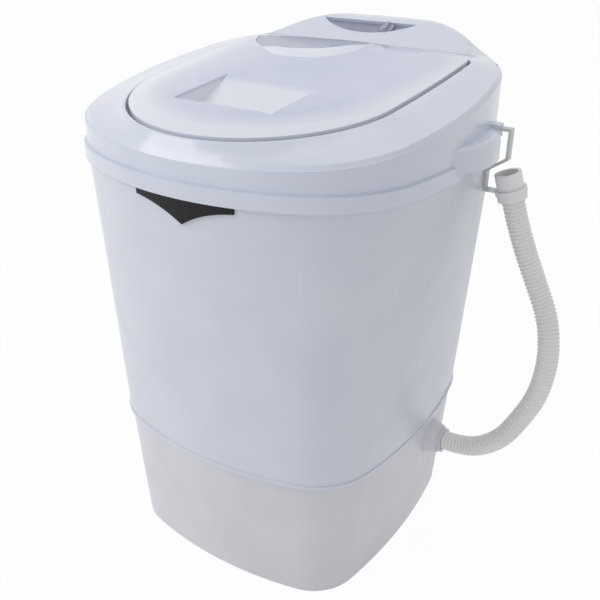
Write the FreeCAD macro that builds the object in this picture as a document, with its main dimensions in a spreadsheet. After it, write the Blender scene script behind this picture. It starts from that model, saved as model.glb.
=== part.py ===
"""Mini washing machine with a single tub, a tilted lid and a hung drain hose.

Millimetres. The origin is on the floor under the middle of the body, +Z is up,
the front of the machine faces -Y and the drain hose leaves the +X side.
"""
import FreeCAD, Part
import math
import os

import Sketcher
from FreeCAD import Placement, Rotation, Vector

SIZES = {
    # Plan of the case: half widths, and radii of its bowed front, its flatter sides and its corners
    "rim_half_x": 180, "rim_half_y": 185, "rim_front_radius": 260, "rim_side_radius": 390,
    "seam_half_x": 159, "seam_half_y": 167, "seam_front_radius": 330, "seam_side_radius": 495,
    "floor_half_x": 145, "floor_half_y": 154, "floor_front_radius": 400, "floor_side_radius": 600,
    "rim_corner_radius": 104, "seam_corner_radius": 70, "floor_corner_radius": 54,
    # Heights of the case
    "base_bottom": 3, "seam_height": 147, "body_top": 438, "skirt_drop": 8, "band_rise": 6,
    "base_step": 1.5, "case_wall": 2.5, "base_lip": 12, "base_floor": 3, "fit_gap": 0.35,
    # Top cover
    "band_out": 3, "cover_wall": 3, "cover_draft": 1.5, "deck_rise": 39.5, "deck_tilt": 7.3,
    "deck_edge_inset": 0.8, "deck_thickness": 5, "lid_rim": 3,
    "crown_rise": 3.2, "crown_inset": 3.6,
    # Lid opening in the cover, measured in the plane of the lid
    "lid_rise": 10.5, "lid_tilt": 6, "lid_side_margin": 45, "lid_front_margin": 13,
    "lid_side_radius": 1500, "lid_front_radius": 134, "lid_back_radius": 480,
    "lid_front_corner": 122, "lid_back_corner": 16, "lid_side_middle": 40,
    "lid_gap": 3.2, "recess_depth": 12, "ledge": 12, "ledge_end": 84, "ledge_corner": 4,
    # Lid
    "lid_plate": 4.2, "lid_wall": 2.5, "lid_step": 2, "dome_height": 6, "dome_tilt": 0.8, "dome_side": 40,
    "dome_front": 46, "dome_back": 8, "dome_ease": 40, "dome_shoulder": 0.42, "dome_shoulder_height": 4.2,
    "scoop_half": 53, "scoop_back": 36, "scoop_front": 114, "scoop_depth": 12, "scoop_slope": 44,
    "scoop_wall": 2, "scoop_side_slope": 5, "hollow_x": 52, "hollow_y": 125, "hollow_turn": 26,
    "hollow_radius": 69, "hollow_depth": 2.2, "lip_half": 55, "lip_taper": 10, "lip_width": 24,
    "lip_ridge": 6, "lip_height": 3.5, "lip_lap": 2, "lip_root": 0.4,
    "hinge_inset": 32, "hinge_depth": 4, "hinge_pin_radius": 2, "hinge_pin_length": 9,
    "hinge_pin_reach": 3.5, "running_gap": 0.06,
    # Console behind the lid
    "console_depth": 56, "crest_depth": 13, "console_tilt": 25.5, "console_flat": 48,
    "console_spread": 165, "panel_half": 57, "panel_drop": 21.5, "panel_shift": 13, "recess_panel_depth": 5,
    "panel_thickness": 1.6, "panel_top": 39.5, "console_wall": 3, "console_room_half": 54,
    "crest_round": 6,
    "knob_x": 26, "knob_drop": 9.6, "knob_radius": 7.4, "knob_height": 6, "knob_lift": 0.8, "knob_grip": 3.2, "knob_bar_inset": 1,
    "timer_shaft_radius": 3, "timer_case_x": 26, "timer_case_y": 12, "timer_case_z": 9,
    # Lifting lugs on both sides of the rim
    "lug_middle": 18, "lug_half": 62, "lug_out": 17, "lug_rise": 7, "lug_height": 22, "lug_wall": 3,
    "lug_root": 14, "lug_round": 8, "finger_depth": 19,
    # Badge plate under the rim band
    "badge_x": 11, "badge_half": 50, "badge_top": 429.2, "badge_end": 5, "badge_drop": 22, "badge_thickness": 1.8,
    "badge_bow": 3.5, "skin_gap": 0.3,
    # Wash tub
    "tub_middle": -12, "tub_mouth_radius": 128, "tub_floor_radius": 118, "tub_floor": 195,
    "tub_wall": 2.5, "tub_flange": 3, "tub_round": 24, "tub_shaft_hole": 15,
    # Agitator and drive line
    "pulsator_radius": 74, "pulsator_height": 13, "pulsator_gap": 4, "hub_radius": 20,
    "vane_count": 3, "vane_height": 11, "vane_half": 5.5, "vane_reach": 68,
    "drive_radius": 6, "drive_bottom": 92, "screw_head_radius": 7, "screw_head": 4,
    "seal_height": 7, "bearing_radius": 13, "bearing_height": 10,
    "housing_radius": 22, "housing_bottom": 136, "housing_flange_radius": 46, "housing_flange": 5,
    "housing_bolt_circle": 36, "bolt_radius": 2.5, "bolt_head_radius": 4.5, "bolt_head": 3,
    "big_pulley_radius": 56, "small_pulley_radius": 16, "pulley_height": 14, "pulley_bottom": 106,
    "pulley_rim": 2, "belt_height": 9, "belt_thickness": 4, "belt_gap": 0.3,
    # Motor, capacitor and drain
    "motor_back": 104, "motor_radius": 42, "motor_bottom": 16, "motor_height": 76,
    "motor_shaft_radius": 5, "motor_foot": 52, "motor_foot_half": 7, "motor_foot_thickness": 4,
    "bush_radius": 7, "plate_thickness": 3, "motor_bell": 8, "motor_shaft_bottom": 60,
    "capacitor_x": 84, "capacitor_y": -70, "capacitor_radius": 17, "capacitor_height": 62,
    "clip_thickness": 2, "clip_height": 16,
    "drain_x": 74, "drain_radius": 12, "drain_bend": 26, "drain_flange": 18, "drain_flange_thickness": 3,
    "grille_rim": 2.4, "grille_bar": 2.2,
    # Spout and drain hose
    "hose_height": 112, "hose_y": 42, "hose_radius": 10.6, "hose_rib": 1.1, "hose_bore": 7.5,
    "hose_pitch": 3.9, "spout_root_radius": 25, "spout_radius": 15.5, "spout_end": 166,
    "spout_root": 142, "spout_gap": 0.35, "hose_start": 146, "collar_radius": 13.6,
    "collar_width": 5, "cuff_length": 26, "cuff_radius": 12.6, "cuff_bore": 9.6, "cuff_socket": 12,
    "cuff_bead_radius": 14, "cuff_bead": 6,
    # Hose hanger
    "hanger_y": 64, "hanger_half": 4, "hanger_strap": 2.6, "hanger_top": 459, "hanger_loop": 11.5,
    "hanger_boss": 184, "hanger_boss_half": 6, "hanger_boss_height": 12, "hanger_knee": 430,
    "hanger_wall": 174, "hanger_low_knee": 417, "hanger_low": 397, "hanger_arm_reach": 4,
    "clip_ring_width": 5, "clip_ring_wall": 2,
    # Feet, gland and screws
    "foot_x": 96, "foot_y": 104, "foot_radius": 12, "gland_z": 60, "gland_radius": 8,
    "gland_bore": 3.6, "gland_flange": 11, "gland_length": 12, "gland_x": -45,
    "plate_screw_radius": 1.8, "plate_screw_head": 4, "plate_screw_head_height": 2.4,
}

doc = FreeCAD.newDocument("MiniWasher")
sheet = doc.addObject("Spreadsheet::Sheet", "Sizes")


class Size:
    """A number together with the sheet expression that gives it."""

    def __init__(self, number, text):
        self.number = number
        self.text = text

    def _join(self, sign, other, number):
        return Size(number, f"({self.text} {sign} {as_size(other).text})")

    def __add__(self, other):
        return self._join("+", other, self.number + as_size(other).number)

    def __sub__(self, other):
        return self._join("-", other, self.number - as_size(other).number)

    def __mul__(self, other):
        return self._join("*", other, self.number * as_size(other).number)

    def __truediv__(self, other):
        return self._join("/", other, self.number / as_size(other).number)

    def __neg__(self):
        return Size(-self.number, f"(-1 * {self.text})")

    def __radd__(self, other):
        return as_size(other) + self

    def __rsub__(self, other):
        return as_size(other) - self

    def __rmul__(self, other):
        return as_size(other) * self


def as_size(value):
    """A plain number as a Size."""
    return value if isinstance(value, Size) else Size(float(value), repr(float(value)))


def root(value):
    """Square root of a Size."""
    return Size(math.sqrt(value.number), f"sqrt({value.text})")


def trig(name, value):
    """Sine, cosine or tangent of a Size in degrees."""
    return Size(getattr(math, name)(math.radians(value.number)), f"{name}({value.text} * 1 deg)")


class Sheet:
    """The driving sizes, one attribute for each cell."""

    def __init__(self, values):
        for row, (name, value) in enumerate(values.items(), 1):
            sheet.set(f"A{row}", name)
            sheet.set(f"B{row}", str(value))
            sheet.setAlias(f"B{row}", name)
            setattr(self, name, Size(float(value), f"Sizes.{name}"))


S = Sheet(SIZES)
doc.recompute()


# Sketches


def new_body(name):
    """An empty body whose label names its sub-part."""
    body = doc.addObject("PartDesign::Body", name)
    body.Label = name
    return body


def bind(obj, **values):
    """Tie properties to sizes; a double underscore stands for a dot."""
    for name, value in values.items():
        obj.setExpression(name.replace("__", "."), as_size(value).text)


def sketch(body, name, plane="XY_Plane", at=(0, 0, 0), tilt=0):
    """A sketch on an origin plane of its body, moved in that plane's own axes."""
    sk = body.newObject("Sketcher::SketchObject", name)
    support = next(f for f in body.Origin.OriginFeatures if f.Role == plane)
    sk.AttachmentSupport = [(support, "")]
    sk.MapMode = "FlatFace"
    x, y, z = (as_size(v) for v in at)
    turn = as_size(tilt)
    spot = Vector(x.number, y.number, z.number)
    sk.AttachmentOffset = Placement(spot, Rotation(Vector(1, 0, 0), turn.number))
    bind(sk, AttachmentOffset__Base__x=x, AttachmentOffset__Base__y=y, AttachmentOffset__Base__z=z)
    if turn.number:
        bind(sk, AttachmentOffset__Rotation__Angle=turn)
    return sk


def datum(sk, kind, value, *where):
    """A dimension on a sketch, tied to its size."""
    value = as_size(value)
    index = sk.addConstraint(Sketcher.Constraint(kind, *where, value.number))
    sk.setExpression(f"Constraints[{index}]", value.text)


def place(sk, geo, pos, x, y):
    """Hold one point of a sketch at x, y."""
    for kind, axis, value in (("DistanceX", -2, as_size(x)), ("DistanceY", -1, as_size(y))):
        if value.number == 0:
            sk.addConstraint(Sketcher.Constraint("PointOnObject", geo, pos, axis))
        else:
            datum(sk, kind, value, geo, pos)


def flat(x, y):
    """A sketch point as a vector."""
    return Vector(as_size(x).number, as_size(y).number, 0)


def polygon(sk, points):
    """A closed outline of straight lines."""
    count = len(points)
    first = sk.GeometryCount
    for i in range(count):
        sk.addGeometry(Part.LineSegment(flat(*points[i]), flat(*points[(i + 1) % count])), False)
    for i in range(count):
        sk.addConstraint(Sketcher.Constraint("Coincident", first + i, 2, first + (i + 1) % count, 1))
    for i, (x, y) in enumerate(points):
        place(sk, first + i, 1, x, y)


def rectangle(sk, x0, x1, y0, y1):
    """A closed rectangle."""
    polygon(sk, [(x0, y0), (x1, y0), (x1, y1), (x0, y1)])


def circle(sk, radius, x=0, y=0):
    """A circle in a sketch."""
    geo = sk.addGeometry(Part.Circle(flat(x, y), Vector(0, 0, 1), as_size(radius).number), False)
    place(sk, geo, 3, x, y)
    datum(sk, "Radius", radius, geo)


def add_arc(sk, centre, radius, start, end):
    """An arc of a circle, counter-clockwise between two angles."""
    round_line = Part.Circle(centre, Vector(0, 0, 1), as_size(radius).number)
    sk.addGeometry(Part.ArcOfCircle(round_line, start, end), False)


def bearing(start, end):
    """Direction from one point to another."""
    return math.atan2(end.y - start.y, end.x - start.x)


def corner_centre(side, side_radius, end, end_radius, radius, right, back):
    """Centre of the round corner that touches a side arc and an end arc from inside."""
    d = (end - side).Length
    a = side_radius - radius
    b = end_radius - radius
    along = (d * d + a * a - b * b) / (2 * d)
    across = math.sqrt(a * a - along * along)
    unit = (end - side).normalize()
    across_unit = Vector(-unit.y, unit.x, 0)
    options = [side + unit * along + across_unit * sign * across for sign in (1, -1)]
    return max(options, key=lambda p: p.x * right + p.y * back)


def ring(sk, half, front, back, radii, corners, middle=0):
    """A closed outline of four bowed sides and four round corners, all tangent.

    half, front and back are its reach to the sides, to -Y and to +Y; radii are those of the
    sides, the front and the back, and corners those of the front and the back corners.
    """
    side_r, front_r, back_r = (as_size(r) for r in radii)
    front_c, back_c = (as_size(r) for r in corners)
    half, front, back, middle = (as_size(v) for v in (half, front, back, middle))
    spots = [(half - side_r, middle), (0, back - back_r), (side_r - half, middle), (0, front_r - front)]
    centres = [flat(*spot) for spot in spots]
    side_radii = [side_r, back_r, side_r, front_r]
    corner_radii = [back_c, back_c, front_c, front_c]
    signs = [(1, 1), (-1, 1), (-1, -1), (1, -1)]
    rounds = []
    for i, (right, rear) in enumerate(signs):
        j = (i + 1) % 4
        rounds.append(corner_centre(centres[i], side_radii[i].number, centres[j], side_radii[j].number,
                                    corner_radii[i].number, right, rear))
    arcs = []
    for i in range(4):
        j = (i + 1) % 4
        start, end = bearing(centres[i], rounds[i - 1]), bearing(centres[i], rounds[i])
        arcs.append((centres[i], side_radii[i], start, end))
        arcs.append((rounds[i], corner_radii[i], end, bearing(centres[j], rounds[i])))
    for centre, radius, start, end in arcs:
        end = end if end > start else end + 2 * math.pi
        add_arc(sk, centre, radius, start, end)
    for i in range(8):
        sk.addConstraint(Sketcher.Constraint("Tangent", i, 2, (i + 1) % 8, 1))
    for i, spot in enumerate(spots):
        place(sk, 2 * i, 3, *spot)
    for i, (_, radius, _, _) in enumerate(arcs):
        datum(sk, "Radius", radius, i)


def case_ring(sk, level, grow):
    """The case's plan at the rim, seam or floor, grown or shrunk all round."""
    parts = ("half_x", "half_y", "side_radius", "front_radius", "corner_radius")
    half_x, half_y, side, front, corner = (getattr(S, f"{level}_{part}") + grow for part in parts)
    ring(sk, half_x, half_y, half_y, (side, front, front), (corner, corner))


def lid_ring(sk, grow):
    """The lid's plan in its own plane, grown or shrunk all round."""
    ring(sk, S.lid_half + grow, S.lid_front + grow, S.lid_back + grow,
         (S.lid_side_radius + grow, S.lid_front_radius + grow, S.lid_back_radius + grow),
         (S.lid_front_corner + grow, S.lid_back_corner + grow), S.lid_side_middle)


def dome_ring(sk, share, grow, back_corner):
    """A level line of the lid's dome; share is how far it has come in from the lid's edge."""
    edge = grow - S.lid_gap
    ease = edge - share * S.dome_ease
    ring(sk, S.lid_half + edge - share * S.dome_side, S.lid_front + edge - share * S.dome_front,
         S.lid_back + edge - share * S.dome_back,
         (S.lid_side_radius + ease, S.lid_front_radius + ease, S.lid_back_radius + ease),
         (S.lid_front_corner + ease, back_corner), S.lid_side_middle)


# Features


def pad(body, sk, length, reverse=False):
    """Raise a sketch along its normal."""
    feature = body.newObject("PartDesign::Pad", f"{sk.Name}_pad")
    feature.Profile = sk
    feature.Reversed = reverse
    bind(feature, Length=length)
    return feature


def pocket(body, sk, length, reverse=False):
    """Cut a sketch's outline out of its body, against the sketch's normal."""
    feature = body.newObject("PartDesign::Pocket", f"{sk.Name}_pocket")
    feature.Profile = sk
    feature.Reversed = reverse
    bind(feature, Length=length)
    return feature


def loft(body, first, second, cut=False, through=None):
    """Straight-sided solid, or cut, between two outlines, by way of a third if one is given."""
    kind = "PartDesign::SubtractiveLoft" if cut else "PartDesign::AdditiveLoft"
    feature = body.newObject(kind, f"{first.Name}_loft")
    feature.Profile = first
    feature.Sections = [through, second] if through else [second]
    feature.Ruled = True
    return feature


def revolve(body, name, outline, x=0, y=0):
    """Turn a half outline of (radius, height) points about a vertical axis."""
    sk = sketch(body, name, "XZ_Plane", (x, 0, -as_size(y)))
    polygon(sk, outline)
    feature = body.newObject("PartDesign::Revolution", f"{name}_turned")
    feature.Profile = sk
    feature.ReferenceAxis = (sk, ["V_Axis"])
    feature.Angle = 360
    return feature


def fillet(body, feature, radius, chosen):
    """Round the edges of a feature that pass a test."""
    doc.recompute()
    names = [f"Edge{i}" for i, edge in enumerate(feature.Shape.Edges, 1) if chosen(edge)]
    rounded = body.newObject("PartDesign::Fillet", f"{feature.Name}_round")
    rounded.Base = (feature, names)
    bind(rounded, Radius=radius)
    return rounded


def cylinder(name, radius, height, base, turn=None):
    """A Part cylinder standing at a point, turned about X or Y by an angle in degrees."""
    obj = doc.addObject("Part::Cylinder", name)
    seat(obj, base, turn)
    bind(obj, Radius=radius, Height=height)
    return obj


def box(name, sizes, base, turn=None):
    """A Part box from its lowest corner."""
    obj = doc.addObject("Part::Box", name)
    seat(obj, base, turn)
    bind(obj, Length=sizes[0], Width=sizes[1], Height=sizes[2])
    return obj


def seat(obj, base, turn=None):
    """Place an object, with an optional turn given as an axis and an angle."""
    axis, angle = turn or (Vector(0, 0, 1), as_size(0))
    obj.Placement = Placement(Vector(*(as_size(v).number for v in base)), Rotation(axis, angle.number))
    bind(obj, Placement__Base__x=base[0], Placement__Base__y=base[1], Placement__Base__z=base[2])
    if angle.number:
        bind(obj, Placement__Rotation__Angle=angle)


def boolean(kind, name, base, tool):
    """A Part cut, fuse or common of two objects."""
    obj = doc.addObject(f"Part::{kind}", name)
    obj.Base = base
    obj.Tool = tool
    obj.Label = name
    return obj


def group(name, members):
    """Several separate solids as one sub-part."""
    obj = doc.addObject("Part::Compound", name)
    obj.Links = members
    obj.Label = name
    return obj


parts = []


def keep(obj):
    """Count an object as one of the machine's sub-parts."""
    parts.append(obj)
    return obj


# Planes that several pieces share

case_width = 2 * (S.rim_half_x + S.rim_half_y)
S.skirt_bottom = S.body_top - S.skirt_drop
S.band_top = S.body_top + S.band_rise
S.deck_height = S.band_top + S.deck_rise
S.lid_height = S.deck_height + S.lid_rise
S.lid_half = S.rim_half_x - S.lid_side_margin
S.lid_front = S.rim_half_y - S.lid_front_margin
S.console_foot = S.rim_half_y - S.console_depth
S.console_crest = S.rim_half_y - S.crest_depth
S.lid_back = S.console_foot
S.hinge_back = S.lid_back - S.hinge_inset
S.hanger_out = S.hanger_boss + S.hanger_loop
S.hanger_arm = S.hanger_wall + S.hanger_strap + S.hanger_arm_reach
CREST_SHARES = (1, 0.8, 0.6, 0.4, 0.2, 0)
lid_slope = trig("tan", S.lid_tilt)
deck_slope = trig("tan", S.deck_tilt)
along_x = Vector(1, 0, 0)
along_y = Vector(0, 1, 0)
side_turn = (along_y, as_size(90))
plate_bottom = S.base_bottom + S.base_floor
plate_top = plate_bottom + S.plate_thickness
flange_top = S.body_top + S.tub_flange


def lid_point(back, depth):
    """Height and reach of a point given along the lid's plane and under it."""
    y = back * trig("cos", S.lid_tilt) + depth * trig("sin", S.lid_tilt)
    z = S.lid_height + back * trig("sin", S.lid_tilt) - depth * trig("cos", S.lid_tilt)
    return y, z


# Case


def make_body_shell():
    """Tapered case wall between the base and the top cover."""
    body = new_body("body_shell")
    low = sketch(body, "body_low", at=(0, 0, S.seam_height))
    case_ring(low, "seam", 0)
    high = sketch(body, "body_high", at=(0, 0, S.body_top))
    case_ring(high, "rim", 0)
    loft(body, low, high)
    low_in = sketch(body, "body_low_inside", at=(0, 0, S.seam_height))
    case_ring(low_in, "seam", -S.case_wall)
    high_in = sketch(body, "body_high_inside", at=(0, 0, S.body_top))
    case_ring(high_in, "rim", -S.case_wall)
    loft(body, low_in, high_in, cut=True)
    return keep(body)


def make_base_shell():
    """Base wall with its floor lip, the hose spout and the cord gland's hole."""
    body = new_body("base_shell")
    low = sketch(body, "base_low", at=(0, 0, S.base_bottom))
    case_ring(low, "floor", 0)
    high = sketch(body, "base_high", at=(0, 0, S.seam_height))
    case_ring(high, "seam", -S.base_step)
    loft(body, low, high)
    spout = body.newObject("PartDesign::AdditiveCone", "spout_cone")
    support_on_side(spout, body, S.spout_root)
    bind(spout, Radius1=S.spout_root_radius, Radius2=S.spout_radius, Height=S.spout_end - S.spout_root)
    low_in = sketch(body, "base_low_inside", at=(0, 0, plate_bottom))
    case_ring(low_in, "floor", -S.case_wall)
    high_in = sketch(body, "base_high_inside", at=(0, 0, S.seam_height))
    case_ring(high_in, "seam", -S.base_step - S.case_wall)
    loft(body, low_in, high_in, cut=True)
    opening = sketch(body, "base_opening", at=(0, 0, plate_bottom))
    case_ring(opening, "floor", -S.case_wall - S.base_lip)
    pocket(body, opening, S.base_floor)
    bore = sketch(body, "spout_bore_ring", "YZ_Plane", (0, 0, S.spout_end))
    circle(bore, S.hose_radius + S.spout_gap, S.hose_y, S.hose_height)
    pocket(body, bore, 2 * (S.spout_end - S.spout_root))
    gland = sketch(body, "gland_hole", "XZ_Plane", (0, 0, -S.seam_half_y))
    circle(gland, S.gland_radius, S.gland_x, S.gland_z)
    pocket(body, gland, 2 * S.gland_length, reverse=True)
    lip_screws = sketch(body, "lip_screw_holes", at=(0, 0, plate_bottom))
    for x, y in plate_screw_spots():
        circle(lip_screws, S.plate_screw_radius + S.fit_gap, x, y)
    pocket(body, lip_screws, S.base_floor)
    return keep(body)


def support_on_side(obj, body, x):
    """Stand a primitive on the body's side plane, looking along +X from the hose's centre."""
    plane = next(f for f in body.Origin.OriginFeatures if f.Role == "YZ_Plane")
    obj.AttachmentSupport = [(plane, "")]
    obj.MapMode = "FlatFace"
    bind(obj, AttachmentOffset__Base__x=S.hose_y, AttachmentOffset__Base__y=S.hose_height,
         AttachmentOffset__Base__z=x)


def plate_screw_spots():
    """Places of the screws between the floor plate and the base's lip."""
    reach_x = S.floor_half_x - S.case_wall - S.base_lip / 2
    reach_y = S.floor_half_y - S.case_wall - S.base_lip / 2
    return [(reach_x, 0), (-reach_x, 0), (0, reach_y), (0, -reach_y)]


def make_bottom_plate():
    """Floor plate that carries the motor and the feet."""
    body = new_body("bottom_plate")
    outline = sketch(body, "plate_outline", at=(0, 0, plate_bottom))
    case_ring(outline, "floor", -S.case_wall - S.fit_gap)
    pad(body, outline, S.plate_thickness)
    holes = sketch(body, "plate_holes", at=(0, 0, plate_top))
    for x, y in plate_screw_spots():
        circle(holes, S.plate_screw_radius + S.fit_gap, x, y)
    pocket(body, holes, S.plate_thickness)
    keep(body)
    screws = []
    for i, (x, y) in enumerate(plate_screw_spots()):
        head = cylinder(f"plate_screw_head_{i}", S.plate_screw_head, S.plate_screw_head_height,
                        (x, y, plate_top))
        end = S.base_bottom + S.fit_gap
        shank = cylinder(f"plate_screw_shank_{i}", S.plate_screw_radius, plate_top - end, (x, y, end))
        screws.append(boolean("Fuse", f"plate_screw_{i}", head, shank))
    keep(group("plate_screws", screws))


def make_feet():
    """Four rubber feet under the floor plate."""
    for side, x in (("right", S.foot_x), ("left", -S.foot_x)):
        for end, y in (("back", S.foot_y), ("front", -S.foot_y)):
            keep(cylinder(f"foot_{end}_{side}", S.foot_radius, plate_bottom, (x, y, 0)))


# Top cover


def make_top_cover():
    """Rim band, tilted deck with the lid's recess, lugs and console."""
    body = new_body("top_cover")
    band = sketch(body, "band_outline", at=(0, 0, S.skirt_bottom))
    case_ring(band, "rim", S.band_out)
    pad(body, band, S.band_top - S.skirt_bottom)
    low = sketch(body, "cover_low", at=(0, 0, S.band_top))
    case_ring(low, "rim", 0)
    tall = S.lid_height + S.rim_half_y
    high = sketch(body, "cover_high", at=(0, 0, tall))
    case_ring(high, "rim", -S.cover_draft)
    loft(body, low, high)
    cut_deck_and_console(body, tall)
    crown_low = sketch(body, "crown_low", at=(0, 0, S.deck_height), tilt=S.deck_tilt)
    case_ring(crown_low, "rim", -S.deck_edge_inset)
    crown_middle = sketch(body, "crown_middle", at=(0, 0, S.deck_height + S.crown_rise), tilt=S.deck_tilt)
    case_ring(crown_middle, "rim", -S.crown_inset)
    crown_high = sketch(body, "crown_high", at=(0, 0, S.lid_height), tilt=S.lid_tilt)
    lid_ring(crown_high, S.lid_rim)
    loft(body, crown_low, crown_high, through=crown_middle)
    add_lugs(body)
    cut_lid_recess(body)
    cut_underside(body)
    cut_console_recess(body)
    return keep(body)


def console_foot_height():
    """Height at which the console's slope starts, level with the lid."""
    return S.lid_height + S.console_foot * lid_slope


def console_crest_height():
    """Height of the console's crest."""
    return console_foot_height() + (S.console_crest - S.console_foot) * trig("tan", S.console_tilt)


def cut_deck_and_console(body, tall):
    """Cut the tilted deck, the console's slope and its bowed shoulders."""
    crest = console_crest_height()
    back_deck = S.deck_height + S.console_foot * deck_slope
    side = sketch(body, "deck_profile", "YZ_Plane", (0, 0, case_width))
    radius = S.crest_round / trig("tan", S.console_tilt / 2)
    crest_line = []
    for share in CREST_SHARES:
        turn = S.console_tilt * share
        crest_line.append((S.console_crest + S.crest_round - radius * trig("sin", turn),
                           crest - radius + radius * trig("cos", turn)))
    polygon(side, [(-case_width, S.deck_height - case_width * deck_slope), (S.console_foot, back_deck),
                   (S.console_foot, console_foot_height()), *crest_line, (case_width, crest),
                   (case_width, tall + S.cover_wall), (-case_width, tall + S.cover_wall)])
    pocket(body, side, 2 * case_width)
    front = sketch(body, "shoulder_profile", "XZ_Plane", (0, 0, case_width))
    shoulder_outline(front, crest, back_deck, tall + S.cover_wall)
    pocket(body, front, 2 * case_width)


def shoulder_outline(sk, crest, foot, top):
    """Everything above the console seen from the front: a flat crest between two S-curves."""
    width = S.console_spread - S.console_flat
    drop = crest - foot
    radius = (width * width + drop * drop) / (4 * drop)
    sweep = 2 * math.atan2(drop.number, width.number)
    far = case_width
    up = math.pi / 2
    sk.addGeometry(Part.LineSegment(flat(-far, foot), flat(-S.console_spread, foot)), False)
    arcs = [(-S.console_spread, foot + radius, -up, -up + sweep),
            (-S.console_flat, crest - radius, up, up + sweep),
            (S.console_flat, crest - radius, up - sweep, up),
            (S.console_spread, foot + radius, -up - sweep, -up)]
    for x, y, start, end in arcs[:2]:
        add_arc(sk, flat(x, y), radius, start, end)
    sk.addGeometry(Part.LineSegment(flat(-S.console_flat, crest), flat(S.console_flat, crest)), False)
    for x, y, start, end in arcs[2:]:
        add_arc(sk, flat(x, y), radius, start, end)
    sk.addGeometry(Part.LineSegment(flat(S.console_spread, foot), flat(far, foot)), False)
    sk.addGeometry(Part.LineSegment(flat(far, foot), flat(far, top)), False)
    sk.addGeometry(Part.LineSegment(flat(far, top), flat(-far, top)), False)
    sk.addGeometry(Part.LineSegment(flat(-far, top), flat(-far, foot)), False)
    for first, first_end, second, second_end in ((0, 2, 1, 1), (2, 1, 3, 1), (3, 2, 4, 2), (5, 2, 6, 1),
                                                 (6, 2, 7, 1), (7, 2, 8, 1), (8, 2, 9, 1), (9, 2, 0, 1)):
        sk.addConstraint(Sketcher.Constraint("Coincident", first, first_end, second, second_end))
    sk.addConstraint(Sketcher.Constraint("Tangent", 1, 2, 2, 2))
    sk.addConstraint(Sketcher.Constraint("Tangent", 4, 1, 5, 1))
    for geo, x, y in ((0, -far, foot), (3, -S.console_flat, crest), (6, S.console_spread, foot),
                      (7, far, foot), (8, far, top), (9, -far, top)):
        place(sk, geo, 1, x, y)
    place(sk, 0, 2, -S.console_spread, foot)
    place(sk, 3, 2, S.console_flat, crest)
    for geo, x in ((1, -S.console_spread), (5, S.console_spread)):
        datum(sk, "DistanceX", x, geo, 3)
    for geo in (1, 2, 4, 5):
        datum(sk, "Radius", radius, geo)


def lug_arc(sk, side, inner, outer, half):
    """A D-shaped outline: a chord along Y at inner and an arc that reaches outer."""
    depth = outer - inner
    radius = (half * half + depth * depth) / (2 * depth)
    sweep = math.atan2(half.number, (radius - depth).number)
    middle = 0 if side > 0 else math.pi
    centre = flat(side * (outer - radius), S.lug_middle)
    add_arc(sk, centre, radius, middle - sweep, middle + sweep)
    low, high = (flat(side * inner, S.lug_middle - half), flat(side * inner, S.lug_middle + half))
    start, end = (high, low) if side > 0 else (low, high)
    sk.addGeometry(Part.LineSegment(start, end), False)
    sk.addConstraint(Sketcher.Constraint("Coincident", 0, 2, 1, 1))
    sk.addConstraint(Sketcher.Constraint("Coincident", 1, 2, 0, 1))
    place(sk, 0, 1, side * inner, S.lug_middle - side * half)
    place(sk, 0, 2, side * inner, S.lug_middle + side * half)
    datum(sk, "Radius", radius, 0)


def add_lugs(body):
    """Rounded lifting lugs, hollow underneath for the fingers."""
    outer = S.rim_half_x + S.lug_out
    for name, side in (("right", 1), ("left", -1)):
        outline = sketch(body, f"lug_{name}", at=(0, 0, S.skirt_bottom + S.lug_rise))
        lug_arc(outline, side, S.rim_half_x - S.lug_root, outer, S.lug_half)
        lug = pad(body, outline, S.lug_height)
    top = S.skirt_bottom + S.lug_rise + S.lug_height
    fillet(body, lug, S.lug_round,
           lambda e: abs(e.BoundBox.ZMin - top.number) < 1e-4 and abs(e.BoundBox.ZMax - top.number) < 1e-4
           and max(abs(e.BoundBox.XMin), abs(e.BoundBox.XMax)) > outer.number - 1)
    boss = sketch(body, "hanger_boss", at=(0, 0, S.hanger_top + S.hanger_strap - S.hanger_boss_height))
    rectangle(boss, S.rim_half_x - S.lug_root, S.hanger_boss,
              S.hanger_y - S.hanger_boss_half, S.hanger_y + S.hanger_boss_half)
    pad(body, boss, S.hanger_boss_height)
    inner = S.rim_half_x + S.band_out + S.skin_gap
    for name, side in (("right", 1), ("left", -1)):
        room = sketch(body, f"finger_{name}", at=(0, 0, S.skirt_bottom + S.lug_rise))
        half = S.lug_half * root((outer - S.lug_wall - inner) / (outer - S.rim_half_x + S.lug_root))
        lug_arc(room, side, inner, outer - S.lug_wall, half)
        pocket(body, room, S.finger_depth, reverse=True)


def cut_lid_recess(body):
    """Recess for the lid with its ledge, the opening over the tub and the hinge sockets."""
    recess = sketch(body, "lid_recess", at=(0, 0, S.lid_height), tilt=S.lid_tilt)
    lid_ring(recess, 0)
    pocket(body, recess, S.recess_depth)
    y, z = lid_point(as_size(0), S.recess_depth)
    opening = sketch(body, "lid_opening", at=(0, y, z), tilt=S.lid_tilt)
    lid_ring(opening, -S.ledge)
    pocket(body, opening, S.lid_height)
    well = sketch(body, "hinge_well", at=(0, y, z), tilt=S.lid_tilt)
    inset = S.lid_gap / 4
    ring(well, S.lid_half - inset, -S.ledge_end, S.lid_back - inset,
         (S.lid_side_radius - inset, 2 * S.lid_side_radius, S.lid_back_radius - inset),
         (S.ledge_corner, S.lid_back_corner - inset), S.lid_side_middle)
    pocket(body, well, S.lid_height)
    y, z = lid_point(S.hinge_back, S.hinge_depth)
    reach = S.lid_half + S.hinge_pin_reach + S.fit_gap
    sockets = sketch(body, "hinge_sockets", "YZ_Plane", (0, 0, reach))
    circle(sockets, S.hinge_pin_radius + S.running_gap, y, z)
    pocket(body, sockets, 2 * reach)


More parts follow.
